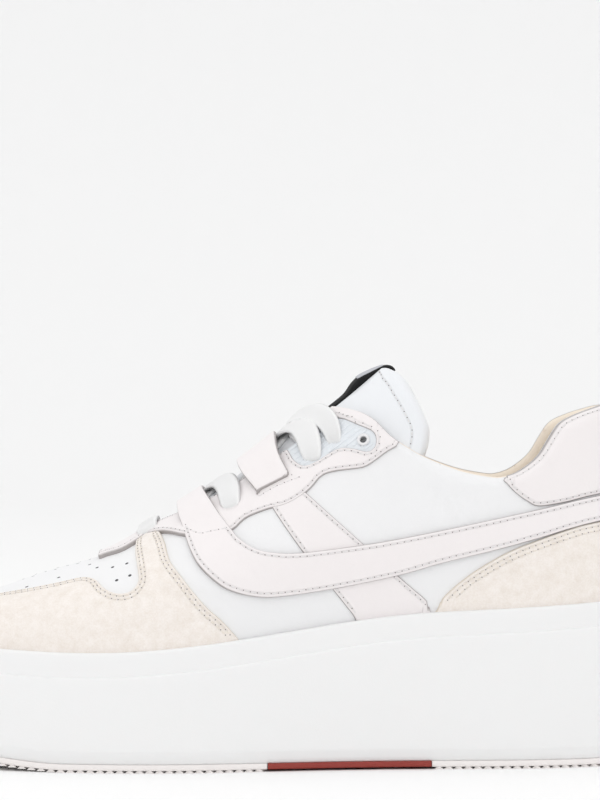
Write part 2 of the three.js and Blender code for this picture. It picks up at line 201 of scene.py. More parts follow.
def new_piece(name, points, faces, material, smooth=True):
    """A mesh object from points in mm (station, side, height)."""
    mesh = bpy.data.meshes.new(name)
    mesh.from_pydata(to_metres(points).tolist(), [], [list(map(int, f)) for f in faces])
    mesh.materials.append(material)
    if smooth:
        mesh.shade_smooth()
    piece = bpy.data.objects.new(name, mesh)
    bpy.context.scene.collection.objects.link(piece)
    return piece


def ring_loft(name, profile, material, count=420, span=None):
    """Closed loft of rings round the sole outline; profile is a list of (inset, height function)."""
    u = np.arange(count) * 2 * math.pi / count
    if span:
        ends = np.clip(np.arccos(1 - 2 * np.array(span) / LENGTH), 0.004, math.pi - 0.004)
        one_side = np.linspace(*ends, count // 2)
        u = np.concatenate([one_side, 2 * math.pi - one_side[::-1]])
    rings = []
    for inset, height in profile:
        s, y = outline_point(u, inset)
        if span:
            s = np.clip(s, *span)
        rings.append(np.column_stack([s, y, height(s)]))
    points = np.concatenate(rings)
    faces = []
    for i in range(len(rings) - 1):
        for j in range(count):
            k = (j + 1) % count
            faces.append((i * count + k, i * count + j, (i + 1) * count + j, (i + 1) * count + k))
    last = (len(rings) - 1) * count
    for j in range(count // 2):
        a, b, c, d = j, (j + 1) % count, (count - j - 1) % count, (count - j) % count
        low, high = [], []
        for k in (a, b, c, d):
            if k not in low:
                low.append(k)
                high.append(last + k)
        if len(low) > 2:
            faces += [low, high[::-1]]
    return new_piece(name, points, faces, material)


def fine_relief(name, settings, cells, strength, depth, kind="ShaderNodeTexNoise"):
    """A material with one even relief in object space; cells holds the texture's own sockets,
    its Scale in repeats per metre, and depth is in metres."""
    material, tree, shader = new_material(name, settings)
    place = add_node(tree, "ShaderNodeTexCoord")
    texture = add_node(tree, kind, links={"Vector": place.outputs["Object"], **cells})
    relief = add_node(tree, "ShaderNodeBump", links={
        "Strength": strength, "Distance": depth, "Height": texture.outputs["Fac"]})
    tree.links.new(relief.outputs[0], shader.inputs["Normal"])
    return material


# Moulding leaves a faint pebble of about 0.6 mm, finer than the leather's grain.
foam_rubber = fine_relief(
    "moulded_foam_rubber", {"Base Color": linear("efefef"), "Roughness": 0.52, "IOR": 1.5,
                            "Subsurface Weight": 0.05, "Subsurface Radius": (0.004, 0.003, 0.003),
                            "Subsurface Scale": 1.0},
    {"Scale": 1600.0, "Detail": 3.0, "Roughness": 0.6}, strength=0.16, depth=0.0002)

wall_low = lambda s: roll(s) + OUTSOLE_TOP
band_low = lambda s: feather_z(s) - BAND_HEIGHT
midsole_profile = [
    (1.0, wall_low), (0.6, lambda s: wall_low(s) + 0.4), (0.05, lambda s: wall_low(s) + 2.2),
    (-0.45, lambda s: wall_low(s) + 3.9), (-0.6, lambda s: wall_low(s) + 4.4),
    (-0.6, lambda s: wall_low(s) + 5.2)]
for part in np.linspace(0.1, 1, 8):
    midsole_profile.append((-0.6 + 0.55 * part, lambda s, part=part: (
        (1 - part) * (wall_low(s) + 5.2) + part * (band_low(s) - 1.0))))
midsole_profile += [
    (0.0, lambda s: band_low(s) - 0.55), (0.12, lambda s: band_low(s) - 0.22),
    (0.35, lambda s: band_low(s) - 0.04), (0.75, lambda s: band_low(s)),
    (LEDGE + 0.02, lambda s: band_low(s) + 0.08), (LEDGE + 0.1, lambda s: band_low(s) + 0.4),
    (LEDGE + 0.15, lambda s: band_low(s) + 2.5), (LEDGE + 0.2, lambda s: band_low(s) + 5),
    (LEDGE + 0.25, lambda s: feather_z(s) - 1.3), (LEDGE + 0.4, lambda s: feather_z(s) - 0.6),
    (LEDGE + 0.75, lambda s: feather_z(s) - 0.18), (LEDGE + 1.3, feather_z),
    (RIM_INSET - 0.7, feather_z), (RIM_INSET - 0.35, lambda s: feather_z(s) - 0.3),
    (RIM_INSET - 0.3, lambda s: feather_z(s) - CUP_DEPTH)]
midsole = ring_loft("midsole_cup", midsole_profile, foam_rubber)
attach(midsole, "root")
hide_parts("midsole")

# ---- Outsole
# Three moulded rubber pieces cemented under the midsole: off-white treads at forefoot and
# heel, ribbed across in a shallow zigzag, and a smooth brick-red insert under the arch.
RIB_PITCH, RIB_ROOT, RIB_TIP, RIB_HEIGHT, RIB_KINKS = 3.5, 3.3, 1.1, 0.9, 21
# Hard-wearing moulded rubber: matt with a faint pebble, and warmer than the foam. The
# insert is the same rubber pigmented brick red.
tread_rubber = fine_relief(
    "moulded_tread_rubber", {"Base Color": linear("f1ecea"), "Roughness": 0.6, "IOR": 1.52},
    {"Scale": 900.0, "Detail": 3.0}, strength=0.2, depth=0.0002)
red_rubber = fine_relief(
    "moulded_brick_red_rubber", {"Base Color": linear("933228"), "Roughness": 0.55, "IOR": 1.52},
    {"Scale": 900.0, "Detail": 3.0}, strength=0.2, depth=0.0002)


def tread_profile(lift):
    return [(1.5, lambda s: roll(s) + lift), (0.5, lambda s: roll(s) + lift),
            (0.12, lambda s: roll(s) + lift + 0.15), (0.0, lambda s: roll(s) + lift + 0.5),
            (0.0, lambda s: roll(s) + OUTSOLE_TOP - 0.25), (0.2, lambda s: roll(s) + OUTSOLE_TOP),
            (1.5, lambda s: roll(s) + OUTSOLE_TOP)]


def open_tree(name, sizes, finish):
    """A Geometry Nodes tree with a float input for each size and one for the material."""
    tree = bpy.data.node_groups.new(name, "GeometryNodeTree")
    inputs = [("Geometry", "Geometry")] + [(size, "Float") for size in sizes] + [(finish, "Material")]
    for socket, kind in inputs:
        tree.interface.new_socket(socket, in_out="INPUT", socket_type="NodeSocket" + kind)
    tree.interface.new_socket("Geometry", in_out="OUTPUT", socket_type="NodeSocketGeometry")
    return tree, add_node(tree, "NodeGroupInput")


def close_tree(tree, shape, finish):
    """Makes the shape real, gives it its material and hands it out of the tree."""
    real = add_node(tree, "GeometryNodeRealizeInstances", links={"Geometry": shape})
    dressed = add_node(tree, "GeometryNodeSetMaterial", links={
        "Geometry": real.outputs[0], "Material": finish})
    add_node(tree, "NodeGroupOutput", links={"Geometry": dressed.outputs[0]})


rib_tree, entry = open_tree("tread_ribs", ("Rib root", "Rib tip", "Rib height"), "Rubber")
lines = add_node(rib_tree, "GeometryNodeMeshToCurve", links={"Mesh": entry.outputs["Geometry"]})
upright = add_node(rib_tree, "GeometryNodeSetCurveNormal", {"mode": "Z_UP"}, {"Curve": lines.outputs[0]})
bar = add_node(rib_tree, "GeometryNodeCurvePrimitiveQuadrilateral", {"mode": "TRAPEZOID"}, {
    "Height": entry.outputs["Rib height"], "Bottom Width": entry.outputs["Rib tip"],
    "Top Width": entry.outputs["Rib root"], "Offset": 0.0})
swept = add_node(rib_tree, "GeometryNodeCurveToMesh", links={
    "Curve": upright.outputs[0], "Profile Curve": bar.outputs[0], "Fill Caps": True})
close_tree(rib_tree, swept.outputs[0], entry.outputs["Rubber"])


def grow(name, points, edges, tree, inputs, attributes=None):
    """Runs a Geometry Nodes tree on points and edges in mm and keeps the result as a plain mesh."""
    mesh = bpy.data.meshes.new(name + "_path")
    mesh.from_pydata(to_metres(points).tolist(), [tuple(map(int, e)) for e in edges], [])
    for key, values in (attributes or {}).items():
        mesh.attributes.new(key, "FLOAT_VECTOR", "POINT").data.foreach_set(
            "vector", np.asarray(values, np.float32).ravel())
    carrier = bpy.data.objects.new(name, mesh)
    bpy.context.scene.collection.objects.link(carrier)
    modifier = carrier.modifiers.new("grow", "NODES")
    modifier.node_group = tree
    for item in tree.interface.items_tree:
        if item.in_out == "INPUT" and item.name in inputs:
            modifier[item.identifier] = inputs[item.name]
    result = bpy.data.meshes.new_from_object(
        carrier.evaluated_get(bpy.context.evaluated_depsgraph_get()))
    carrier.modifiers.clear()
    carrier.data = result
    result.name = name
    return carrier


side_turn = lambda s: np.arccos(1 - 2 * np.asarray(s, float) / LENGTH)
for name, node, first, last, material, lift in (
        ("forefoot_tread", "outsole_forefoot", 0.0, WAIST_FRONT - 0.1, tread_rubber, RIB_HEIGHT - 0.1),
        ("heel_tread", "outsole_heel", WAIST_BACK + 0.1, LENGTH, tread_rubber, RIB_HEIGHT - 0.1),
        ("arch_insert", "outsole_waist", WAIST_FRONT + 0.1, WAIST_BACK - 0.1, red_rubber, WAIST_RAISE)):
    body = ring_loft(name, tread_profile(lift), material, 420, (first, last))
    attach(body, "root")
    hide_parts(node)
    if material == red_rubber:
        continue
    rib_points, rib_edges = [], []
    for s in np.arange(first + RIB_PITCH / 2 + 0.6, last - 1.2, RIB_PITCH):
        left, right = float(outline_y(side_turn(s))), float(outline_y(2 * math.pi - side_turn(s)))
        across_sole = np.linspace(left + 0.55, right - 0.55, RIB_KINKS)
        kinks = np.arange(RIB_KINKS)
        inner = (kinks > 0) & (kinks < RIB_KINKS - 1)
        zigzag = s + 1.1 * np.where(kinks % 2, 1.0, -1.0) * inner
        zigzag = np.clip(zigzag, first + 1.2, last - 1.2)
        start = len(rib_points)
        rib_points += [(x, y, float(roll(x)) + RIB_HEIGHT / 2) for x, y in zip(zigzag, across_sole)]
        rib_edges += [(start + k, start + k + 1) for k in range(RIB_KINKS - 1)]
    ribs = grow(name + "_ribs", rib_points, rib_edges, rib_tree,
                {"Rib root": RIB_ROOT / 1000, "Rib tip": RIB_TIP / 1000,
                 "Rib height": RIB_HEIGHT / 1000, "Rubber": tread_rubber})
    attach(ribs, "root")

# ---- Upper
# Smooth white leather cut and sewn over the last, open at the collar and the throat. The
# collar edge is padded and rolled, the throat edges are thin. Sizes follow the last: the
# crown is the ridge of the closed form the leather lies on.
crown = [  # s, z, y, squareness of the section, swell over the feather line
    (5, 50.3, 7, 2.2, 0), (8, 52, 6.6, 2.2, 0.4), (14, 54.4, 6, 2.25, 0.8),
    (22, 57.2, 5.4, 2.3, 1.2), (30, 59.7, 4.9, 2.35, 1.4), (39.5, 62.4, 4.4, 2.4, 1.5),
    (49, 65.8, 4, 2.4, 1.6), (60, 69.3, 3.6, 2.35, 1.8), (71.5, 72.4, 3.3, 2.3, 2),
    (80, 75.6, 3.1, 2.2, 2.2), (90, 81, 3, 2.1, 2.3), (100, 87.1, 3, 2.05, 2.3),
    (110, 93.3, 3, 2.05, 2.2), (120, 99.9, 2.9, 2.05, 2), (131, 107.9, 2.7, 2.1, 1.7),
    (144, 118, 2.4, 2.2, 1.4), (158, 129.4, 2, 2.35, 1.2), (171, 140.4, 1.6, 2.5, 1.1),
    (185, 152, 1.1, 2.7, 1.2), (202, 164, 0.6, 3, 1.5), (222, 174, 0.2, 3.2, 1.8),
    (245, 180, 0, 3.3, 1.8), (262, 182, 0, 3.3, 1.2), (273, 182.5, 0, 3.3, 0)]
heel_back = [  # z, distance behind the feather line
    (30, 0), (45, 0), (61, 0), (68, 0.8), (77, 1.5), (90, 0.8), (105, -1.4),
    (120, -4.2), (131, -6.4), (150, -9.6), (185, -13)]
collar_line = [  # side view s, z
    (158, 134), (160.4, 130.8), (163, 129.2), (167, 128.6), (172.2, 127.2), (176.5, 124.9),
    (179.2, 122.4), (182.3, 119.2), (186, 116.6), (190, 114.2), (194, 112),
    (201, 109), (209, 106.2), (218, 104.4), (223, 104.2), (229, 106.2), (236, 111.4),
    (240.5, 118), (244.5, 123.4), (250, 126.4), (258.5, 129.2), (267, 131), (290, 132.5)]
throat_half = [  # s, half width of the throat
    (92, 0), (92.6, 2.6), (94, 4.6), (97, 7), (100, 9.2), (103, 11.4), (107, 13.8),
    (120, 16.6), (135, 18.4), (148, 19.2), (155, 18.2), (163, 15), (172, 14)]
creases = [  # side view s, z to s, z; width and depth
    (97, 66, 112, 58, 2.2, 0.35), (101, 70, 119, 61, 2.0, 0.3), (196, 100, 207, 88, 3.0, 0.5),
    (206, 99, 213, 89, 2.6, 0.4), (128, 74, 137, 66, 2.4, 0.25), (214, 96, 218, 90, 2.2, 0.3)]
heel_lean = curve_through(*zip(*heel_back))


def ridge_station(u):
    return (outline_point(u, RIM_INSET)[0] + outline_point(2 * math.pi - u, RIM_INSET)[0]) / 2


turn_table = np.linspace(0, math.pi, 4001)
station_table = ridge_station(turn_table)
turn_at = lambda s: np.interp(s, station_table, turn_table)
crown_z, crown_y, crown_square, crown_swell = (
    curve_through(turn_at([row[0] for row in crown]), [row[k] for row in crown]) for k in (1, 2, 3, 4))


def form_point(u, a):
    """Point of the closed form: a runs from the lateral feather line (-1) to the medial one (1)."""
    edge_s, edge_y = outline_point(np.where(a < 0, u, 2 * math.pi - u), RIM_INSET)
    ridge_s, square, ridge_y = ridge_station(u), crown_square(u), crown_y(u)
    angle = (1 - np.clip(np.abs(a), 0, 1)) * math.pi / 2
    out = np.maximum(0, np.cos(angle)) ** (2 / square)
    up = np.maximum(0, np.sin(angle)) ** (2 / square)
    bottom = feather_z(edge_s)
    z = bottom + (crown_z(u) - bottom) * up
    swell = crown_swell(u) * np.sin(math.pi * np.clip((z - bottom) / 44, 0, 1)) ** 2
    lean = heel_lean(z) * ease((ridge_s - 190) / 82)
    y = ridge_y + (edge_y - ridge_y) * out + np.sign(a) * swell
    return np.column_stack([
        ridge_s + (edge_s - ridge_s) * out + lean, y, z - np.maximum(0, np.abs(a) - 1) * 30])


def facing(u, a):
    """Outward direction of the form."""
    step = 0.006
    along = form_point(u + step, a) - form_point(u - step, a)
    a_in = np.clip(a, -0.995, 0.995)
    over = form_point(u, a_in + 0.005) - form_point(u, a_in - 0.005)
    normal = np.cross(along, over)
    return normal / np.linalg.norm(normal, axis=1)[:, None]


ROWS, RIBS = 280, 176
grid_u, grid_a = np.meshgrid(
    np.linspace(0, math.pi, ROWS + 1), np.linspace(-1.08, 1.08, RIBS + 1), indexing="ij")
grid_u, grid_a = grid_u.ravel(), grid_a.ravel()
corner = (np.arange(ROWS)[:, None] * (RIBS + 1) + np.arange(RIBS)[None, :]).ravel()
grid_faces = np.concatenate([
    np.column_stack([corner, corner + RIBS + 1, corner + RIBS + 2]),
    np.column_stack([corner, corner + RIBS + 2, corner + 1])])
grid_points, grid_facing = form_point(grid_u, grid_a), facing(grid_u, grid_a)


def drawn(points, closed=True, steps=5):
    """Smooth line through the points; a doubled point stays a corner."""
    p = np.asarray(points, float)
    before, after = np.roll(p, 1, 0), np.roll(p, -1, 0)
    beyond = np.roll(p, -2, 0)
    if not closed:
        before[0], after[-1], beyond[-1], beyond[-2] = p[0], p[-1], p[-1], p[-1]
    pieces = []
    for t in np.arange(steps) / steps:
        square, cube = 2 * before - 5 * p + 4 * after - beyond, 3 * p - before - 3 * after + beyond
        pieces.append(0.5 * (2 * p + (after - before) * t + square * t ** 2 + cube * t ** 3))
    line = np.stack(pieces, 1).reshape(-1, 2)
    return line if closed else np.vstack([line[:(len(p) - 1) * steps], p[-1]])


def inside_line(line, flat, normals, axes):
    """Distance over the surface to a closed line in side view or plan, positive inside it."""
    a, b = line, np.roll(line, -1, 0)
    keep = np.linalg.norm(b - a, axis=1) > 1e-6
    a, b = a[keep], b[keep]
    best, gap_to = np.full(len(flat), 1e18), np.zeros_like(flat)
    inside = np.zeros(len(flat), bool)
    for p, q in zip(a, b):
        t = np.clip((flat - p) @ (q - p) / ((q - p) @ (q - p)), 0, 1)
        off = flat - p - t[:, None] * (q - p)
        d = (off ** 2).sum(1)
        nearer = d < best
        best[nearer], gap_to[nearer] = d[nearer], off[nearer]
        if p[1] != q[1]:
            crosses = (p[1] > flat[:, 1]) != (q[1] > flat[:, 1])
            inside ^= crosses & (flat[:, 0] < (q[0] - p[0]) * (flat[:, 1] - p[1]) / (q[1] - p[1]) + p[0])
    distance = np.sqrt(best)
    slope = normals[:, axes[0]] * gap_to[:, 0] + normals[:, axes[1]] * gap_to[:, 1]
    slope /= np.maximum(distance, 1e-6)
    true = distance / np.sqrt(np.maximum(1 - slope ** 2, 0.12))
    return np.where(inside, true, -true)


def side_view(line):
    line = drawn(line)
    return lambda points, normals: inside_line(line, points[:, (0, 2)], normals, (0, 2))


def cut_along(data, faces, level):
    """Splits triangles so that a row of points lies where the third column equals level."""
    value = data[:, 2] - level
    value = np.where(np.abs(value) < 0.02, 0.02, value)
    over = value > 0
    edges = np.sort(np.concatenate([faces[:, (0, 1)], faces[:, (1, 2)], faces[:, (2, 0)]]), axis=1)
    crossing = over[edges[:, 0]] != over[edges[:, 1]]
    keys, which = np.unique(edges[crossing], axis=0, return_inverse=True)
    if not len(keys):
        return data, faces
    t = (value[keys[:, 0]] / (value[keys[:, 0]] - value[keys[:, 1]]))[:, None]
    fresh = data[keys[:, 0]] * (1 - t) + data[keys[:, 1]] * t
    fresh[:, 2] = level
    ids = np.full(len(edges), -1)
    ids[crossing] = len(data) + which.ravel()
    ids = ids.reshape(3, -1).T
    pieces = [faces[(ids < 0).all(1)]]
    for k in range(3):
        alone = (ids[:, k] >= 0) & (ids[:, (k + 2) % 3] >= 0)
        a, b, c = (faces[alone, (k + m) % 3] for m in range(3))
        p, q = ids[alone, k], ids[alone, (k + 2) % 3]
        pieces += [np.column_stack([a, p, q]), np.column_stack([p, b, c]), np.column_stack([p, c, q])]
    return np.vstack([data, fresh]), np.vstack(pieces)


def crease_depth(points):
    """How far the leather dips or lifts along the listed creases, on both sides."""
    depth = np.zeros(len(points))
    flat = points[:, (0, 2)]
    for s0, z0, s1, z1, width, deep in creases:
        way = np.array([s1 - s0, z1 - z0])
        t = (flat - (s0, z0)) @ way / (way @ way)
        off = np.linalg.norm(flat - (s0, z0) - np.clip(t, 0, 1)[:, None] * way, axis=1) / width
        depth += deep * (0.7 * np.exp(-((off - 1.6) ** 2)) - np.exp(-off ** 2)) * np.exp(
            -np.clip(np.abs(t - 0.5) - 0.35, 0, None) ** 2 * 18)
    return depth


FAR = 9.0  # distance given to points that have no stitch line near them, in mm
seams = {}


def panel(name, field, low, high, material, levels=(), rounded=0.7, rows=(), thread="white",
          sewn_at=lambda p, n: p[:, 2] > feather_z(p[:, 0]) + 3.4):
    """A closed sheet lying on the form where the field is positive. low and high are its
    under and upper side in mm off the form; rows are stitch lines, in mm from its edge,
    run wherever sewn_at is true."""
    value = field(grid_points, grid_facing)
    near = (value[grid_faces] > -4).any(1)
    used, faces = np.unique(grid_faces[near], return_inverse=True)
    faces = faces.reshape(-1, 3)
    data = np.column_stack([grid_u[used], grid_a[used], value[used]])
    cuts = sorted({0.0, 0.12 * rounded, 0.4 * rounded, rounded, *levels, *rows})
    for level in cuts:
        data, faces = cut_along(data, faces, level)
        if level == 0:
            faces = faces[data[faces, 2].mean(1) > 0]
    used, faces = np.unique(faces, return_inverse=True)
    faces, data = faces.reshape(-1, 3), data[used]
    u, a, f = data.T
    points, normals = form_point(u, a), facing(u, a)
    # weld the two halves where they meet at the toe tip and at the heel end
    _, first, same = np.unique(np.round(points, 3), axis=0, return_index=True, return_inverse=True)
    same = same.ravel()
    faces = same[faces]
    faces = faces[(faces != np.roll(faces, -1, 1)).all(1)]
    points, normals, f = points[first], normals[first], f[first]
    under = low(points, f, normals) if callable(low) else np.full(len(f), float(low))
    over = high(points, f, normals) if callable(high) else np.full(len(f), float(high))
    if rounded:
        shoulder = np.sqrt(np.maximum(0, 1 - (1 - np.clip(f / rounded, 0, 1)) ** 2))
        over = under + (over - under) * (0.25 + 0.75 * shoulder)
    dip = crease_depth(points)
    top = points + normals * (over + dip)[:, None]
    base = points + normals * (under + dip)[:, None]
    count = len(points)
    ways = np.concatenate([faces[:, (0, 1)], faces[:, (1, 2)], faces[:, (2, 0)]])
    known = {tuple(w) for w in ways.tolist()}
    rim = np.array([w for w in known if (w[1], w[0]) not in known], int).reshape(-1, 2)
    walls = [(q, p, p + count, q + count) for p, q in rim.tolist()]
    piece = new_piece(name, np.vstack([top, base]),
                      faces.tolist() + (faces[:, ::-1] + count).tolist() + walls, material)
    sewn = sewn_at(points, normals)
    to_row = np.full(count, FAR)
    if rows:
        to_row = np.where(sewn, np.min([np.abs(f - row) for row in rows], axis=0), FAR)
    for key, values in (("edge_mm", f), ("row_mm", to_row)):
        piece.data.attributes.new(key, "FLOAT", "POINT").data.foreach_set(
            "value", np.concatenate([values, values]).astype(np.float32))
    for row in rows:
        on = (np.abs(f - row) < 1e-4) & sewn
        line = np.array([e for e in known if on[e[0]] and on[e[1]] and e[0] < e[1]] +
                        [(e[1], e[0]) for e in known
                         if on[e[0]] and on[e[1]] and e[0] > e[1] and (e[1], e[0]) not in known], int)
        if len(line):
            ends, line = np.unique(line, return_inverse=True)
            seams.setdefault(thread, []).append((top[ends], line.reshape(-1, 2), normals[ends]))
    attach(piece, "root")
    return piece


def leather_grain(tree, wrinkle_scale, strength):
    """Relief of full grain: cells about 0.9 mm across, with finer wrinkles between them."""
    place = add_node(tree, "ShaderNodeTexCoord")
    grain = add_node(tree, "ShaderNodeTexVoronoi", {"feature": "F1"}, {
        "Vector": place.outputs["Object"], "Scale": 1100.0})
    wrinkle = add_node(tree, "ShaderNodeTexNoise", links={
        "Vector": place.outputs["Object"], "Scale": wrinkle_scale, "Detail": 5.0, "Roughness": 0.65})
    skin = add_node(tree, "ShaderNodeMath", {"operation": "ADD"}, {
        0: grain.outputs[0], 1: wrinkle.outputs[0]})
    relief = add_node(tree, "ShaderNodeBump", links={
        "Strength": strength, "Distance": 0.00016, "Height": skin.outputs[0]})
    return relief.outputs[0]


# The white leather itself: full grain with a light topcoat, so a soft even sheen that
# handling has polished a little in patches.
white_leather, tree, shader = new_material(
    "coated_white_leather", {"Base Color": linear("eeeeef"), "Roughness": 0.42, "IOR": 1.48})
tree.links.new(leather_grain(tree, 420.0, 0.22), shader.inputs["Normal"])
place = add_node(tree, "ShaderNodeTexCoord")
handling = add_node(tree, "ShaderNodeTexNoise", links={
    "Vector": place.outputs["Object"], "Scale": 38.0, "Detail": 3.0})
polish = add_node(tree, "ShaderNodeMapRange", links={
    "Value": handling.outputs[0], "To Min": 0.36, "To Max": 0.5})
tree.links.new(polish.outputs[0], shader.inputs["Roughness"])

# Eyelets: station, distance from the ridge and radius. The last one holds no lace.
eyelets = [(95.2, 13.8, 1.8), (125.4, 27.0, 2.2), (154.3, 26.2, 2.2), (162.4, 25.6, 2.2),
           (172.9, 29.8, 1.8)]
TRIES = 500  # places tried across the form when a point on it is looked up


def across(s, w):
    """Turn and share of the form's point at station s, w to the side of the ridge."""
    shares = math.copysign(1, w) * np.linspace(0, 0.9, TRIES)
    u = float(turn_at(s))
    for _ in range(4):
        column = form_point(np.full(TRIES, u), shares)
        off = np.abs(column[:, 1] - crown_y(u))
        share = float(np.interp(abs(w), off, shares))
        u = float(turn_at(ridge_station(u) + s - np.interp(abs(w), off, column[:, 0])))
    return u, share


def spot(u, a):
    """One point of the form and its outward direction."""
    u, a = np.array([u]), np.array([a])
    return form_point(u, a)[0], facing(u, a)[0]


holes = [(across(s, side * w), radius) for s, w, radius in eyelets for side in (-1, 1)]
hole_points = [(spot(u, a)[0], radius) for (u, a), radius in holes]


def off_the_holes(points, normals):
    """Distance to the rim of the nearest eyelet."""
    return np.min([np.linalg.norm(points - centre, axis=1) - radius
                   for centre, radius in hole_points], axis=0)


collar_cut = drawn(collar_line, closed=False)
collar_cut = np.vstack([collar_cut, [(290, 260), (130, 260), (150, 150)]])
throat_plan = ([(s, -w) for s, w in throat_half] + [(176, -14), (176, 14)]
               + [(s, w) for s, w in throat_half[:0:-1]])
throat_plan = drawn(throat_plan)


def off_the_cuts(points, normals):
    """Distance to the collar edge or the throat edge, whichever is nearer."""
    ridge = crown_y(turn_at(points[:, 0]))
    plan = np.column_stack([points[:, 0], points[:, 1] - ridge])
    collar = -inside_line(collar_cut, points[:, (0, 2)], normals, (0, 2))
    throat = -inside_line(throat_plan, plan, normals, (0, 1))
    return np.minimum(collar, np.where(points[:, 2] > 64, throat, 50))


def within(*fields):
    return lambda points, normals: np.min([field(points, normals) for field in fields], axis=0)


def edge_roll(points):
    """Radius of the rolled edge: thin along the throat, padded round the collar."""
    return 1.0 + 3.4 * ease((points[:, 0] - 178) / 22)


def rolled(points, f, share):
    r = edge_roll(points)
    return -(r - np.sqrt(np.maximum(0, r ** 2 - (r - np.clip(f, 0, r)) ** 2))) * share


# Outside leather: it turns over the top of the padding and stops at the lining.
upper_leather = panel(
    "upper_leather", within(off_the_cuts, off_the_holes),
    lambda p, f, n: rolled(p, f, 1.0) - 0.9, lambda p, f, n: rolled(p, f, 1.0),
    white_leather, levels=(0.4, 1.0, 1.8, 2.8, 4.2), rounded=0)
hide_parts("upper")

# ---- Collar lining
# Brushed peach cloth over foam: it covers the inside of the upper, swells into a pad under
# the collar and comes up over the rolled edge, where the leather is stitched to it.
# Knit of about 0.7 mm, drawn a little coarser than the real one so that it shows.
lining_cloth = fine_relief(
    "brushed_peach_lining", {"Base Color": linear("f7ead9"), "Roughness": 0.95, "IOR": 1.45,
                             "Sheen Weight": 0.35, "Sheen Roughness": 0.5},
    {"Scale": 1300.0, "Detail": 4.0, "Roughness": 0.7}, strength=0.5, depth=0.0003)


def pad_depth(points, f):
    """Thickness of leather, foam and lining together, fullest just under the collar edge."""
    thin = 2.2 + 0.3 * ease((points[:, 0] - 178) / 22)
    full = 2 * edge_roll(points)
    return thin + (full - thin) * np.exp(-(np.maximum(f - 7, 0) / 14) ** 2)


def lining_inside(points, f, normals):
    r = edge_roll(points)
    round_in = np.sqrt(np.maximum(0, r ** 2 - (r - np.clip(f, 0, r)) ** 2))
    depth = pad_depth(points, f)
    return -np.where(f < r, r + round_in * (depth - r) / r, depth)


def lining_outside(points, f, normals):
    """Just inside the leather, and out over its edge round the collar."""
    over_edge = 0.95 * ease(1 - f / (0.42 * edge_roll(points))) * (points[:, 0] > 176)
    return rolled(points, f, 1.0) - 0.85 + over_edge


lining = panel(
    "collar_lining", within(off_the_cuts, off_the_holes), lining_inside, lining_outside,
    lining_cloth, levels=(0.25, 0.8, 1.4, 1.9, 3, 4.4, 7), rounded=0)

# ---- Footbed
# Foam footbed covered in the same cloth, dished in the middle, loose inside the upper.
footbed_inset = RIM_INSET + 2.9
footbed_rows = [  # inset past the first, height over the feather line
    (0.6, -2.7), (0, -2.2), (0, 0.7), (0.5, 1.3), (1.4, 1.5), (4, 1.0), (9, 0.4), (14, 0.3)]
footbed = ring_loft("footbed", [
    (footbed_inset + inset, lambda s, lift=lift: feather_z(s) + lift) for inset, lift in footbed_rows],
    lining_cloth, 240)
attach(footbed, "root")
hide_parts("insole")

# ---- Eyestay and quarter strips
# Faintly pink smooth leather, die cut and stitched on 1.1 mm from the edge: the eyestay
# round the throat, a slanting strip under the side band, and the heel collar panel.
# Underside and top of a sewn sheet over the quarter in mm: it is pressed in a little.
PANEL_SEAT, PANEL_TOP, STRIP_TOP = -0.15, 0.85, 0.7


def stitch_groove(tree, shader, under, reach, strength, depth):
    """The thread pulls a groove into the surface, reach mm to each side of a stitch line."""
    row = add_node(tree, "ShaderNodeAttribute", {"attribute_name": "row_mm"})
    groove = add_node(tree, "ShaderNodeMapRange", {"interpolation_type": "SMOOTHSTEP"}, {
        "Value": row.outputs["Fac"], "From Min": 0.0, "From Max": reach})
    pulled = add_node(tree, "ShaderNodeBump", links={
        "Strength": strength, "Distance": depth, "Height": groove.outputs[0], "Normal": under})
    tree.links.new(pulled.outputs[0], shader.inputs["Normal"])


def edge_tone_and_step_shade(tree, shader, dark_edge, face, start, end):
    """The colour goes from the darker edge colour to face between start and end mm from the cut edge:
    partly the raw edge's own colour, partly painted shade where the panel steps down onto the layer
    below.
    """
    edge = add_node(tree, "ShaderNodeAttribute", {"attribute_name": "edge_mm"})
    away = add_node(tree, "ShaderNodeMapRange", links={
        "Value": edge.outputs["Fac"], "From Min": start, "From Max": end})
    shade = add_node(tree, "ShaderNodeMix", {"data_type": "RGBA"}, {
        "Factor": away.outputs[0], 6: dark_edge, 7: face})
    tree.links.new(shade.outputs[2], shader.inputs["Base Color"])


# The same full grain and topcoat, with a trace of pink; its cut edge is darker, partly its raw edge and
# partly painted shade where it steps down onto the layer below.
pink_leather, tree, shader = new_material(
    "coated_pinkish_leather", {"Base Color": linear("f0ebeb"), "Roughness": 0.42, "IOR": 1.48})
stitch_groove(tree, shader, leather_grain(tree, 420.0, 0.2), 0.6, 0.7, 0.0003)
edge_tone_and_step_shade(tree, shader, linear("a8a2a1"), linear("f0ebeb"), 0.1, 0.42)

eyestay_line = [
    (76.5, 73.2), (76.5, 73.2), (79.1, 74.3), (85.4, 76.4), (90.7, 79.4), (94.6, 81.8),
    (99.6, 83), (103.6, 83), (108.9, 82.3), (117, 82), (125.7, 84.8), (130.7, 89.1),
    (138.6, 92.3), (144.3, 93.6), (150, 96.6), (154.3, 100.2), (157.1, 103.6),
    (160.4, 105.4), (166.1, 106.4), (172.7, 107.3), (177.1, 109.8), (180.9, 112.7),
    (185.7, 115.5), (190, 119), (190, 119), (186, 140), (150, 175), (60, 150), (60, 150)]
insert_line = [
    (176.5, 119.8), (171, 122.4), (166.4, 124.3), (162.9, 125.4), (154, 132), (154, 132), (140, 122),
    (140, 122), (146.1, 112.7), (148.2, 109.5), (151.8, 107.7), (156.4, 109.5), (160.7, 112.3),
    (164.3, 114.1), (168.9, 114.1), (174.6, 113), (177.3, 115.5)]
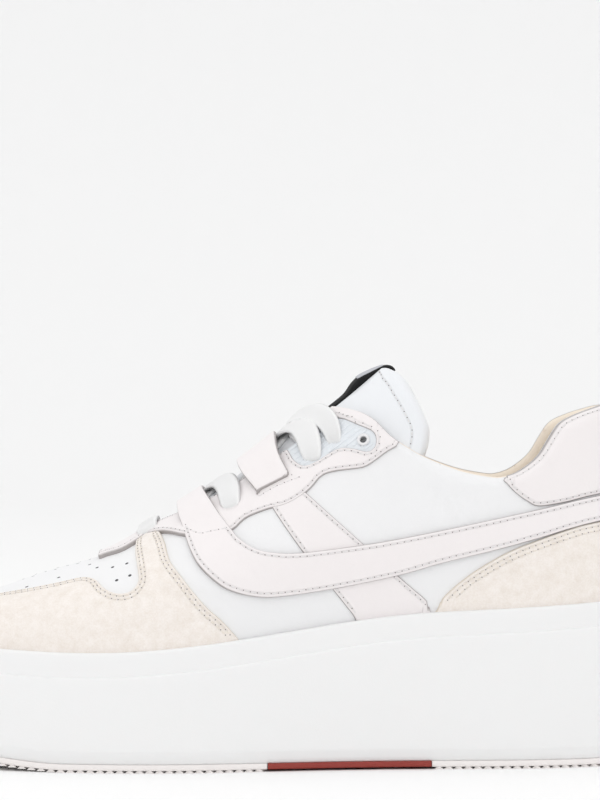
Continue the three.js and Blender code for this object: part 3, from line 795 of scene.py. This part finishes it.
strip_line = [
    (138.9, 95), (138.9, 95), (141.8, 90.2), (150.7, 77.7), (161.8, 63.8), (173, 49.5),
    (173, 49.5), (203.8, 49.5), (203.8, 49.5), (197.9, 57.3), (185, 68.8), (172.5, 80.2),
    (152.1, 98.4), (150, 100.5), (150, 100.5)]
heel_panel_line = [
    (221.4, 105.5), (222.5, 103.4), (227.1, 98.4), (232.1, 94.8), (236, 93.4), (245.7, 94.8),
    (257, 97.4), (296, 104), (296, 104), (296, 150), (296, 150), (220, 150), (220, 150)]
below_feather = lambda points, normals: (points[:, 2] - feather_z(points[:, 0])) + 1.6
heel_only = lambda points, normals: points[:, 0] - 150.0
window = side_view(insert_line)
off_the_window = lambda points, normals: -window(points, normals)


def eyestay_top(points, f, normals):
    """The eyestay lies on the quarter, and in front on the suede too."""
    return (1.0 + 0.85 * ease((116 - points[:, 0]) / 8)
            + rolled(points, off_the_cuts(points, normals), 0.7))


eyestay = panel("eyestay", within(side_view(eyestay_line), off_the_cuts, off_the_holes, off_the_window),
                lambda p, f, n: PANEL_SEAT + rolled(p, off_the_cuts(p, n), 0.7), eyestay_top,
                pink_leather, rows=(1.2,),
                sewn_at=lambda p, n: (p[:, 0] < 150) | (off_the_cuts(p, n) > 2.9))
strip = panel("quarter_strip", within(side_view(strip_line), below_feather), PANEL_SEAT, STRIP_TOP,
              pink_leather, rows=(1.2,))
heel_panel = panel("heel_collar_panel", within(side_view(heel_panel_line), off_the_cuts, heel_only),
                   lambda p, f, n: rolled(p, off_the_cuts(p, n), 1.0) + PANEL_SEAT,
                   lambda p, f, n: rolled(p, off_the_cuts(p, n), 1.0) + PANEL_TOP,
                   pink_leather, levels=(1.8, 2.8, 4.2), rows=(1.2,))

# ---- Ribbed insert
# Bluish white cloth that shows through the window of the eyestay, round the upper eyelets.
# Its woven cords run on a slant, one every 1.7 mm.
INSERT_TOP, CORD_PITCH, CORD_RADIUS, CORD_SINK = 0.35, 1.7, 0.6, 0.2
CORD_STEP, CORD_MIDDLE = 1.2, (162, 116)
# Threads about 0.35 mm apart, drawn as a fine noise.
insert_cloth = fine_relief(
    "woven_bluish_cloth", {"Base Color": linear("e6eaee"), "Roughness": 0.85, "IOR": 1.46},
    {"Scale": 2800.0, "Detail": 2.0}, strength=0.4, depth=0.0002)
insert = panel("ribbed_insert", within(lambda p, n: window(p, n) + 0.7, off_the_cuts, off_the_holes),
               PANEL_SEAT, INSERT_TOP, insert_cloth, rounded=0.3)

cord_tree, entry = open_tree("woven_cords", ("Cord radius",), "Cloth")
lines = add_node(cord_tree, "GeometryNodeMeshToCurve", links={"Mesh": entry.outputs["Geometry"]})
ring = add_node(cord_tree, "GeometryNodeCurvePrimitiveCircle", links={
    "Resolution": 8, "Radius": entry.outputs["Cord radius"]})
swept = add_node(cord_tree, "GeometryNodeCurveToMesh", links={
    "Curve": lines.outputs[0], "Profile Curve": ring.outputs[0], "Fill Caps": True})
close_tree(cord_tree, swept.outputs[0], entry.outputs["Cloth"])


def seen_at(s, z, side):
    """The form's point that lies at s, z in side view, and its outward direction."""
    shares = side * np.linspace(0, 1.06, TRIES)
    u = float(turn_at(s))
    for _ in range(4):
        column = form_point(np.full(TRIES, u), shares)
        share = float(np.interp(-z, -column[:, 2], shares))
        u = float(turn_at(ridge_station(u) + s - np.interp(-z, -column[:, 2], column[:, 0])))
    return spot(u, share)


slant = np.array([0.8, 0.6])
cord_points, cord_out, cord_runs = [], [], []
for side in (-1, 1):
    for k in range(-12, 13):
        for t in np.arange(-20, 20, CORD_STEP):
            s, z = CORD_MIDDLE + k * CORD_PITCH * np.array([-slant[1], slant[0]]) + t * slant
            point, normal = seen_at(s, z, side)
            cord_points.append(point)
            cord_out.append(normal)
            cord_runs.append((side, k))
cord_points, cord_out = np.array(cord_points), np.array(cord_out)
inside = within(window, off_the_cuts, off_the_holes)(cord_points, cord_out) > 0.5
cord_edges = [(i, i + 1) for i in range(len(cord_runs) - 1)
              if inside[i] and inside[i + 1] and cord_runs[i] == cord_runs[i + 1]]
cords = grow("ribbed_insert_cords", cord_points + cord_out * (INSERT_TOP - CORD_SINK), cord_edges,
             cord_tree, {"Cord radius": CORD_RADIUS / 1000, "Cloth": insert_cloth})
cords.data.shade_smooth()
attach(cords, "root")

# ---- Eyelet rims
# The top eyelet holds no lace: a white lacquered rim is riveted into it on both sides.
RIM_HOLE, RIM_EDGE, RIM_STAND, RIM_SIDES = 1.25, 2.3, 1.25, 32
# White lacquer baked on brass: smooth and a little glossy.
lacquer = fine_relief(
    "white_lacquered_brass", {"Base Color": linear("e9e9ea"), "Roughness": 0.3, "IOR": 1.5},
    {"Scale": 1500.0}, strength=0.1, depth=0.0001)
rim_profile = [(RIM_HOLE, -1.2), (RIM_HOLE, RIM_STAND - 0.35), (RIM_HOLE + 0.3, RIM_STAND),
               (RIM_EDGE - 0.35, RIM_STAND), (RIM_EDGE, RIM_STAND - 0.35), (RIM_EDGE, 0.1),
               (RIM_HOLE + 0.4, 0.1), (RIM_HOLE + 0.4, -1.2)]
rim_points, rim_faces = [], []
for (u, a), radius in holes[-2:]:
    centre, out = spot(u, a)
    level = np.cross(out, (0, 0, 1))
    level /= np.linalg.norm(level)
    steep, start = np.cross(out, level), len(rim_points)
    for turn in np.arange(RIM_SIDES) * 2 * math.pi / RIM_SIDES:
        rim_points += [centre + out * h + (level * math.cos(turn) + steep * math.sin(turn)) * r
                       for r, h in rim_profile]
    bends = len(rim_profile)
    for i in range(RIM_SIDES):
        for j in range(bends):
            after, beside = (i + 1) % RIM_SIDES, (j + 1) % bends
            rim_faces.append([start + k * bends + m for k, m in (
                (i, j), (i, beside), (after, beside), (after, j))])
rims = new_piece("eyelet_rims", rim_points, rim_faces, lacquer)
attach(rims, "root")

# ---- Suede overlays
# Cream split suede: a guard round the toe and a counter round the heel, each with a
# double row of stitches, lasted under the foot with the upper.
SUEDE_TOP = 1.25
suede, tree, shader = new_material(
    "brushed_cream_suede", {"Base Color": linear("f3ece5"), "Roughness": 0.98, "IOR": 1.4,
                            "Sheen Weight": 0.45, "Sheen Roughness": 0.4})
# The nap lies in short fibres of about 0.5 mm that brush lighter and darker in patches.
place = add_node(tree, "ShaderNodeTexCoord")
fibre = add_node(tree, "ShaderNodeTexNoise", links={
    "Vector": place.outputs["Object"], "Scale": 1500.0, "Detail": 6.0, "Roughness": 0.75})
brushed = add_node(tree, "ShaderNodeTexNoise", links={
    "Vector": place.outputs["Object"], "Scale": 260.0, "Detail": 5.0, "Roughness": 0.7})
mixed = add_node(tree, "ShaderNodeMath", {"operation": "ADD"}, {
    0: fibre.outputs[0], 1: brushed.outputs[0]})
half = add_node(tree, "ShaderNodeMath", {"operation": "MULTIPLY"}, {0: mixed.outputs[0], 1: 0.5})
tone = add_node(tree, "ShaderNodeValToRGB", links={"Fac": half.outputs[0]})
tone.color_ramp.elements[0].position, tone.color_ramp.elements[0].color = 0.35, linear("ebe2d9")
tone.color_ramp.elements[1].position, tone.color_ramp.elements[1].color = 0.62, linear("f8f2ed")
fuzz = add_node(tree, "ShaderNodeBump", links={
    "Strength": 0.55, "Distance": 0.0003, "Height": mixed.outputs[0]})
stitch_groove(tree, shader, fuzz.outputs[0], 0.6, 0.7, 0.0003)
# Darker cut edge: partly the suede's raw edge, partly painted shade where it steps down onto the layer
# below.
edge_tone_and_step_shade(tree, shader, linear("ddd3c4"), tone.outputs[0], 0.05, 0.45)

toe_guard_line = [
    (-8, 40), (-8, 40), (-8, 55), (0, 55), (20, 55.8), (32, 58.5), (43, 61.1), (53.5, 63.2),
    (63.5, 65.3), (72, 67.2), (76.8, 66.7), (80, 64.3), (83, 62.9), (86.4, 62.4), (90.2, 63.4),
    (92.6, 66.8), (91.8, 72), (90.5, 78), (92, 83), (97, 85), (101, 80.8), (103.6, 74), (108.6, 67.8),
    (116.4, 58.6), (123, 52.6), (130.4, 44), (130.4, 44), (132, 38), (132, 38)]
counter_line = [
    (192.6, 50), (192.6, 50), (195.4, 53.8), (198.4, 58), (203.6, 63), (209.3, 68), (217.5, 73.4),
    (225.7, 77.7), (233.9, 80.9), (246, 85), (257, 87.6), (296, 93.6), (296, 93.6), (296, 48), (296, 48)]
toe_guard = panel("toe_guard_suede", within(side_view(toe_guard_line), below_feather),
                  PANEL_SEAT, SUEDE_TOP, suede, rows=(1.3, 2.6), thread="cream")
heel_counter = panel("heel_counter_suede", within(side_view(counter_line), below_feather, heel_only),
                     PANEL_SEAT, SUEDE_TOP, suede, rows=(1.5, 3.0), thread="cream")
for piece, node in ((toe_guard, "toe_guard"), (heel_counter, "heel_counter")):
    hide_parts(node)

# ---- Side band and keeper strap
# One even band of the pinkish leather runs along the quarter and round the heel; its front
# end loops over the throat and the laces. A shorter keeper strap does the same above it.
band_line = [
    (103.4, 118), (113.4, 118), (113.4, 118), (113.6, 108), (115, 99), (118.6, 93.6), (125.7, 84.8),
    (128.9, 81.3), (134.3, 78.2), (141, 77), (150.7, 77), (172.5, 79.8), (185.7, 82), (203.6, 85.5),
    (220.7, 89.1), (238.9, 93), (257, 97), (296, 103.6), (296, 103.6), (296, 93.6), (296, 93.6),
    (257, 87.7), (235.7, 82), (220.7, 78), (200.7, 73.2), (185, 68.8), (161.4, 64.1),
    (142.9, 61.6), (134.3, 61.6), (125.7, 63.6), (120, 66.8), (114.3, 72), (111.4, 76.4),
    (108.9, 82.3), (106.6, 90), (105.2, 96), (103.6, 106), (103.4, 118)]
keeper_line = [
    (126.6, 128), (126.6, 128), (142.4, 134), (142.4, 134), (143.4, 113), (146.8, 104),
    (146.8, 104), (135, 97.8), (135, 97.8), (128.4, 107.2)]


def off_ridge(points):
    """Distance to the side of the ridge."""
    return np.abs(points[:, 1] - crown_y(turn_at(points[:, 0])))


def over_laces(low, high):
    """Height that is low on the quarter and lifts over the laces at the throat."""
    def height(points, f, normals):
        lift = ease((30 - off_ridge(points)) / 9) * ease((165 - points[:, 0]) / 10)
        return low + (high - low) * lift
    return height


band_top = over_laces(1.75, 3.9)
band = panel("side_band_leather", side_view(band_line), over_laces(PANEL_SEAT, 2.7), band_top,
             pink_leather, rows=(1.5,), sewn_at=lambda p, n: (p[:, 2] < 84.6) | (p[:, 0] > 130))
keeper = panel("keeper_strap_leather", side_view(keeper_line), over_laces(0.8, 3.0),
               over_laces(2.2, 4.2), pink_leather)
for piece, node in ((band, "side_band"), (keeper, "keeper_strap")):
    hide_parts(node)

# ---- Tongue
# Padded tongue in bluish white leather: its front lies under the eyestays, and its wings
# wrap back inside the collar. A seam runs round it inside the padded edge.
# Softer leather with a broader wrinkle, and a wide groove where the padding is stitched in.
bluish_leather, tree, shader = new_material(
    "coated_bluish_white_leather", {"Base Color": linear("ebedf0"), "Roughness": 0.4, "IOR": 1.48})
stitch_groove(tree, shader, leather_grain(tree, 300.0, 0.22), 0.8, 0.5, 0.0005)
tongue_line = [
    (84, 54), (84, 54), (84, 110), (84, 110), (150, 170), (150, 170), (166, 166), (170.2, 148.4),
    (173, 147), (178, 147.6), (182.2, 145.9), (185.4, 142.4), (188.4, 137.6), (192.2, 131.2),
    (194.8, 125.8), (196, 121.5), (195.2, 114), (190, 104), (178, 93), (160, 82), (130, 68), (104, 58)]


def tongue_top(points, f, normals):
    """Highest along the ridge under the laces, lower at the sides and at both ends."""
    middle = ease((168 - points[:, 0]) / 20) * ease((points[:, 0] - 92) / 8)
    return -2.4 + 1.5 * ease((16 - off_ridge(points)) / 10) * middle


def tongue_under(points, f, normals):
    return tongue_top(points, f, normals) - 4.2 - 4.0 * ease((points[:, 0] - 150) / 30)


tongue = panel("tongue_leather", side_view(tongue_line), tongue_under, tongue_top, bluish_leather,
               levels=(0.3, 0.9, 1.8, 4.0), rounded=3.4, rows=(6.0,))
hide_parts("tongue")

# ---- Tongue tab
# Black woven tab sewn over the top of the tongue and folded back over its edge, with a
# plain light grey block woven into it.
TAB_HALF, TAB_THICK = 10.5, 4.5
tab_ridge = [(158.4, 127.8), (162, 130.6), (166, 134), (168.6, 137.7), (171.4, 140.5), (175, 142.4),
             (179, 144), (181.6, 144.6), (183.6, 144.3), (184.8, 143.3), (185.2, 142.4)]
# Weave of about 0.5 mm, drawn at 0.8 mm so that it shows; a checker stands for its squares.
weave = {"Scale": 1250.0}
black_webbing = fine_relief(
    "woven_black_webbing", {"Base Color": linear("101012"), "Roughness": 0.85, "IOR": 1.4},
    weave, strength=0.5, depth=0.0002, kind="ShaderNodeTexChecker")
grey_webbing = fine_relief(
    "woven_grey_webbing", {"Base Color": linear("b9bbc1"), "Roughness": 0.7, "IOR": 1.5},
    weave, strength=0.5, depth=0.0002, kind="ShaderNodeTexChecker")


def tab_sheet(name, first, last, half, lift, thick, material):
    """Closed crowned sheet along the tab's side line, between two stations of it."""
    side_line = drawn(tab_ridge, closed=False, steps=8)
    side_line = side_line[(side_line[:, 0] >= first) & (side_line[:, 0] <= last)]
    along = np.gradient(side_line, axis=0)
    along /= np.linalg.norm(along, axis=1)[:, None]
    rows, columns = len(side_line), 25
    points = []
    for depth in (0.0, thick):
        for i in range(rows):
            for y in np.linspace(-1, 1, columns):
                end = min(1.0, np.linalg.norm(side_line[i] - side_line[0]) / 2,
                          np.linalg.norm(side_line[i] - side_line[-1]) / 2)
                corner = 1 - 0.12 * (1 - math.sqrt(1 - (1 - end) ** 2))
                crown = 1.7 - 1.2 * float(ease((side_line[i, 0] - 174) / 8))
                sink = lift - depth - crown * (y * half / 13) ** 2 - 0.5 * abs(y) ** 14 * (depth == 0)
                s, z = side_line[i] + sink * np.array([-along[i, 1], along[i, 0]])
                points.append((s, y * half * corner + crown_y(turn_at(s)), z))
    faces, count = [], rows * columns
    for i in range(rows - 1):
        for j in range(columns - 1):
            a = i * columns + j
            faces += [(a, a + columns, a + columns + 1, a + 1),
                      (a + count, a + 1 + count, a + columns + 1 + count, a + columns + count)]
    rim = ([(0, j) for j in range(columns)] + [(i, columns - 1) for i in range(1, rows)]
           + [(rows - 1, j) for j in range(columns - 2, -1, -1)]
           + [(i, 0) for i in range(rows - 2, 0, -1)])
    rim = [i * columns + j for i, j in rim]
    faces += [(a, b, b + count, a + count) for a, b in zip(rim, rim[1:] + rim[:1])]
    sheet = new_piece(name, points, faces, material)
    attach(sheet, "root")
    return sheet


tab = tab_sheet("tongue_tab_webbing", 150, 190, TAB_HALF, 0.0, TAB_THICK, black_webbing)
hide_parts("tongue_tab")
tab_sheet("tongue_tab_block", 170.6, 180.6, TAB_HALF - 1.3, 0.3, 0.6, grey_webbing)

# ---- Laces
# Flat white cotton laces, ribbed along their length. A bar joins the lowest eyelets; above
# it the two ends cross, come up from under one edge and go down into the next eyelet of
# the other. The ends stop inside the top eyelets.
LACE_THICK, LACE_RIBS, RIB_RISE, LACE_DROP = 1.4, 7, 0.2, 1.6
# Yarn of about 0.4 mm.
lace_cotton = fine_relief(
    "woven_white_cotton", {"Base Color": linear("f2f2f2"), "Roughness": 0.92, "IOR": 1.45,
                           "Sheen Weight": 0.25, "Sheen Roughness": 0.5},
    {"Scale": 2400.0, "Detail": 3.0}, strength=0.5, depth=0.0003)

lace_bar = [  # s, w from the ridge, height over the form, width
    (95.2, -15, -1.6, 4.4), (95.2, -14.9, -0.2, 5.2), (95.2, -14.3, 1.6, 7.4), (95.2, -12, 2.9, 8.6),
    (95.2, -6, 3.0, 9), (95.2, 0, 3.0, 9), (95.2, 6, 3.0, 9), (95.2, 12, 2.9, 8.6),
    (95.2, 14.3, 1.6, 7.4), (95.2, 14.9, -0.2, 5.2), (95.2, 15, -1.6, 4.4)]
lace_crossings = [
    [(99.5, 12.5, -2.2, 6), (102, 10.5, -0.9, 7.5), (107, 8.5, -0.2, 8.5), (113, 5, 0.7, 8.4),
     (118.2, 0, 1.8, 8.6), (121.6, -7, 2.2, 8.8), (123.6, -14, 2.4, 9.2), (124.8, -19.5, 2.5, 9.2),
     (125.3, -23.4, 2.4, 9), (125.4, -26.4, 1.9, 8), (125.5, -28.2, 0.9, 6.6), (125.5, -28.8, -0.3, 5.2),
     (125.5, -28.9, -1.6, 4.4)],
    [(128, 18.2, -2.2, 6), (130.5, 15, -0.9, 7.5), (135.5, 10.5, -0.2, 8.5), (140.5, 5.5, 0.8, 9),
     (144.6, 0, 1.9, 9.6), (147.9, -6, 2.3, 10), (150.6, -12, 2.5, 10), (152.6, -18, 2.6, 9.8),
     (153.8, -22.6, 2.5, 9.4), (154.4, -25.8, 2.0, 8.6), (154.6, -27.8, 1.0, 7),
     (154.6, -28.5, -0.3, 5.4), (154.6, -28.6, -1.6, 4.4)],
    [(151, 18.6, -2.2, 6), (150.2, 15, -1.0, 7.5), (149.2, 10, -0.1, 8.5), (149, 5, 1.6, 9),
     (149.9, 0, 3.0, 9.4), (152.2, -6, 3.3, 9.4), (155.4, -12, 3.0, 9.2), (158.6, -18, 2.7, 8.8),
     (160.9, -22.2, 2.4, 8), (162, -25, 1.8, 7), (162.4, -27, 0.8, 5.8), (162.5, -27.6, -0.4, 4.8),
     (162.5, -27.7, -1.6, 4)]]
lace_points, lace_faces = [], []


def lay_lace(stops):
    """Adds one flat ribbed lace along the stops to the laces' mesh."""
    stops = np.array(stops, float)
    path, size = drawn(stops[:, :2], False, 7), drawn(stops[:, 2:], False, 7)
    shares = np.array([across(s, w) for s, w in path])
    feet, out = form_point(*shares.T), facing(*shares.T)
    centre = feet + out * size[:, :1]
    run, way = np.gradient(feet, axis=0), np.gradient(centre, axis=0)
    way /= np.linalg.norm(way, axis=1)[:, None]
    side = np.cross(out, run)
    side /= np.linalg.norm(side, axis=1)[:, None]
    up = np.cross(way, side)
    steps = 2 * LACE_RIBS
    start, around = len(lace_points), 2 * steps
    for i in range(len(centre)):
        for k in range(around):
            over = k <= steps
            x = (k if over else around - k) / steps * 2 - 1
            edge = math.sqrt(max(0.0, 1 - abs(x) ** 5))
            z = (1 if over else -1) * edge * (LACE_THICK / 2 + RIB_RISE * (-1) ** k) - 0.35 * x * x
            lace_points.append(centre[i] + side[i] * x * size[i, 1] / 2 + up[i] * z)
    for i in range(len(centre) - 1):
        for k in range(around):
            a, b = start + i * around + k, start + i * around + (k + 1) % around
            lace_faces.append((a, b, b + around, a + around))
    lace_faces.append([start + k for k in range(around)][::-1])
    lace_faces.append([start + (len(centre) - 1) * around + k for k in range(around)])


lay_lace(lace_bar)
for stops in lace_crossings:
    lay_lace(stops)
    # the other end of the lace passes underneath at the middle
    lay_lace([(s, -w, h - LACE_DROP * float(ease((13 - abs(w)) / 7)) * (h > 0), wide)
              for s, w, h, wide in stops])
laces = new_piece("laces_cotton", lace_points, lace_faces, lace_cotton)
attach(laces, "root")
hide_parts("laces")

# ---- Perforations
# Punched holes 1.3 mm wide over the toes, on both sides, drawn as flat dark grey discs of painted shade
# laid on the vamp leather.
HOLE_WIDTH, HOLE_PITCH = 1.3, 8.2
# Painted shade: flat dark grey for the shaded inside of a punched hole, where hardly any light comes.
punched_hole_painted_shade = fine_relief(
    "punched_hole_shadow", {"Base Color": linear("57575a"), "Roughness": 1.0, "IOR": 1.4},
    {"Scale": 2500.0}, strength=0.3, depth=0.0002)

punch_tree, entry = open_tree("hole_shade_discs", ("Hole width",), "Dark")
spots = add_node(punch_tree, "GeometryNodeMeshToPoints", links={"Mesh": entry.outputs["Geometry"]})
outward = add_node(punch_tree, "GeometryNodeInputNamedAttribute", {"data_type": "FLOAT_VECTOR"}, {
    "Name": "facing"})
stand = add_node(punch_tree, "FunctionNodeAlignRotationToVector", {"axis": "Z"}, {
    "Vector": outward.outputs["Attribute"]})
lens = add_node(punch_tree, "GeometryNodeMeshUVSphere", links={
    "Segments": 12, "Rings": 4, "Radius": 0.5})
flat = add_node(punch_tree, "ShaderNodeCombineXYZ", links={
    "X": entry.outputs["Hole width"], "Y": entry.outputs["Hole width"], "Z": 0.0001})
placed = add_node(punch_tree, "GeometryNodeInstanceOnPoints", links={
    "Points": spots.outputs[0], "Instance": lens.outputs["Mesh"], "Rotation": stand.outputs[0],
    "Scale": flat.outputs[0]})
close_tree(punch_tree, placed.outputs[0], entry.outputs["Dark"])

punched = [seen_at(s, z, side) for side in (-1, 1) for s, z in (
    (51.1, 64), (62.7, 67.4), (73.4, 71.7), (76.6, 71), (82.5, 71.4), (87.7, 72.8), (89.2, 68.9),
    (84.5, 67.2))]
for k in range(4):
    for s, w in ((47.6, 0), (51.7, -6), (51.7, 6)):
        punched.append(spot(*across(s + HOLE_PITCH * k, w)))
perforations = grow("vamp_perforation_shade_discs", [p for p, n in punched], [], punch_tree,
                    {"Hole width": HOLE_WIDTH / 1000, "Dark": punched_hole_painted_shade},
                    {"facing": [n for p, n in punched]})
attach(perforations, "root")

# ---- Stitches
# Lockstitch in cream thread on the suede and white on the leather, one stitch every 2.5 mm,
# sunk in its groove, with a grey bead of painted shade for the needle hole between each two.
STITCH_PITCH, STITCH_LENGTH, THREAD_WIDTH, NEEDLE_HOLE = 2.5, 1.8, 0.5, 0.5
# Bonded polyester thread: its filaments are laid smooth, so it has a slight shine.
cream_thread = fine_relief(
    "bonded_cream_thread", {"Base Color": linear("efe7dc"), "Roughness": 0.6, "IOR": 1.5},
    {"Scale": 3500.0}, strength=0.3, depth=0.0001)
white_thread = fine_relief(
    "bonded_white_thread", {"Base Color": linear("eceaea"), "Roughness": 0.6, "IOR": 1.5},
    {"Scale": 3500.0}, strength=0.3, depth=0.0001)

stitch_tree, entry = open_tree("stitch_rows", ("Pitch", "Shift", "Long", "Wide", "High"), "Finish")
lines = add_node(stitch_tree, "GeometryNodeMeshToCurve", links={"Mesh": entry.outputs["Geometry"]})
spots = add_node(stitch_tree, "GeometryNodeCurveToPoints", {"mode": "LENGTH"}, {
    "Curve": lines.outputs[0], "Length": entry.outputs["Pitch"]})
outward = add_node(stitch_tree, "GeometryNodeInputNamedAttribute", {"data_type": "FLOAT_VECTOR"}, {
    "Name": "facing"})
along = add_node(stitch_tree, "FunctionNodeAlignRotationToVector", {"axis": "X"}, {
    "Vector": spots.outputs["Tangent"]})
upright = add_node(stitch_tree, "FunctionNodeAlignRotationToVector", {"axis": "Z", "pivot_axis": "X"}, {
    "Rotation": along.outputs[0], "Vector": outward.outputs["Attribute"]})
bead = add_node(stitch_tree, "GeometryNodeMeshUVSphere", links={
    "Segments": 6, "Rings": 3, "Radius": 0.5})
size = add_node(stitch_tree, "ShaderNodeCombineXYZ", links={
    "X": entry.outputs["Long"], "Y": entry.outputs["Wide"], "Z": entry.outputs["High"]})
shift = add_node(stitch_tree, "ShaderNodeCombineXYZ", links={"X": entry.outputs["Shift"]})
shaped = add_node(stitch_tree, "GeometryNodeTransform", links={
    "Geometry": bead.outputs["Mesh"], "Translation": shift.outputs[0], "Scale": size.outputs[0]})
placed = add_node(stitch_tree, "GeometryNodeInstanceOnPoints", links={
    "Points": spots.outputs["Points"], "Instance": shaped.outputs[0], "Rotation": upright.outputs[0]})
close_tree(stitch_tree, placed.outputs[0], entry.outputs["Finish"])


def sewn(line, height, thread):
    """A stitched line drawn in side view, on both sides of the shoe."""
    for side in (-1, 1):
        spots = [seen_at(s, z, side) for s, z in drawn(line, closed=False)]
        points, normals = np.array([p for p, n in spots]), np.array([n for p, n in spots])
        lift = height(points, None, normals) if callable(height) else np.full(len(points), height)
        edges = np.column_stack([np.arange(len(points) - 1), np.arange(1, len(points))])
        seams.setdefault(thread, []).append((points + normals * lift[:, None], edges, normals))


sewn([(110.6, 83.9), (114.3, 82.7), (118.6, 83.5), (122.9, 84.5)], band_top, "white")
sewn([(136.1, 96.8), (142, 100.2), (148.8, 103)], 1.0, "white")

# The shade in a needle hole, half filled by the thread that goes down it.
needle_hole_painted_shade = fine_relief(
    "needle_hole_shadow", {"Base Color": linear("8a8583"), "Roughness": 1.0, "IOR": 1.4},
    {"Scale": 2500.0}, strength=0.3, depth=0.0001)
for thread, finish in (("cream", cream_thread), ("white", white_thread)):
    points, edges, normals = [], [], []
    for p, e, n in seams[thread]:
        edges.append(e + sum(map(len, points)))
        points.append(p)
        normals.append(n)
    points, edges, normals = np.vstack(points), np.vstack(edges), np.vstack(normals)
    edges = edges[off_the_holes(points[edges].mean(axis=1), None) > 2.2]
    for name, shift, long, wide, high, look in (
            ("stitches", 0, STITCH_LENGTH, THREAD_WIDTH, 0.4, finish),
            ("needle_hole_shade", STITCH_PITCH / 2, NEEDLE_HOLE, NEEDLE_HOLE, 0.2, needle_hole_painted_shade)):
        row = grow(thread + "_" + name, points + normals * 0.04, edges, stitch_tree, {
            "Pitch": STITCH_PITCH / 1000, "Shift": shift / 1000, "Long": long / 1000,
            "Wide": wide / 1000, "High": high / 1000, "Finish": look}, {"facing": normals})
        row.data.shade_smooth()
        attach(row, "root")
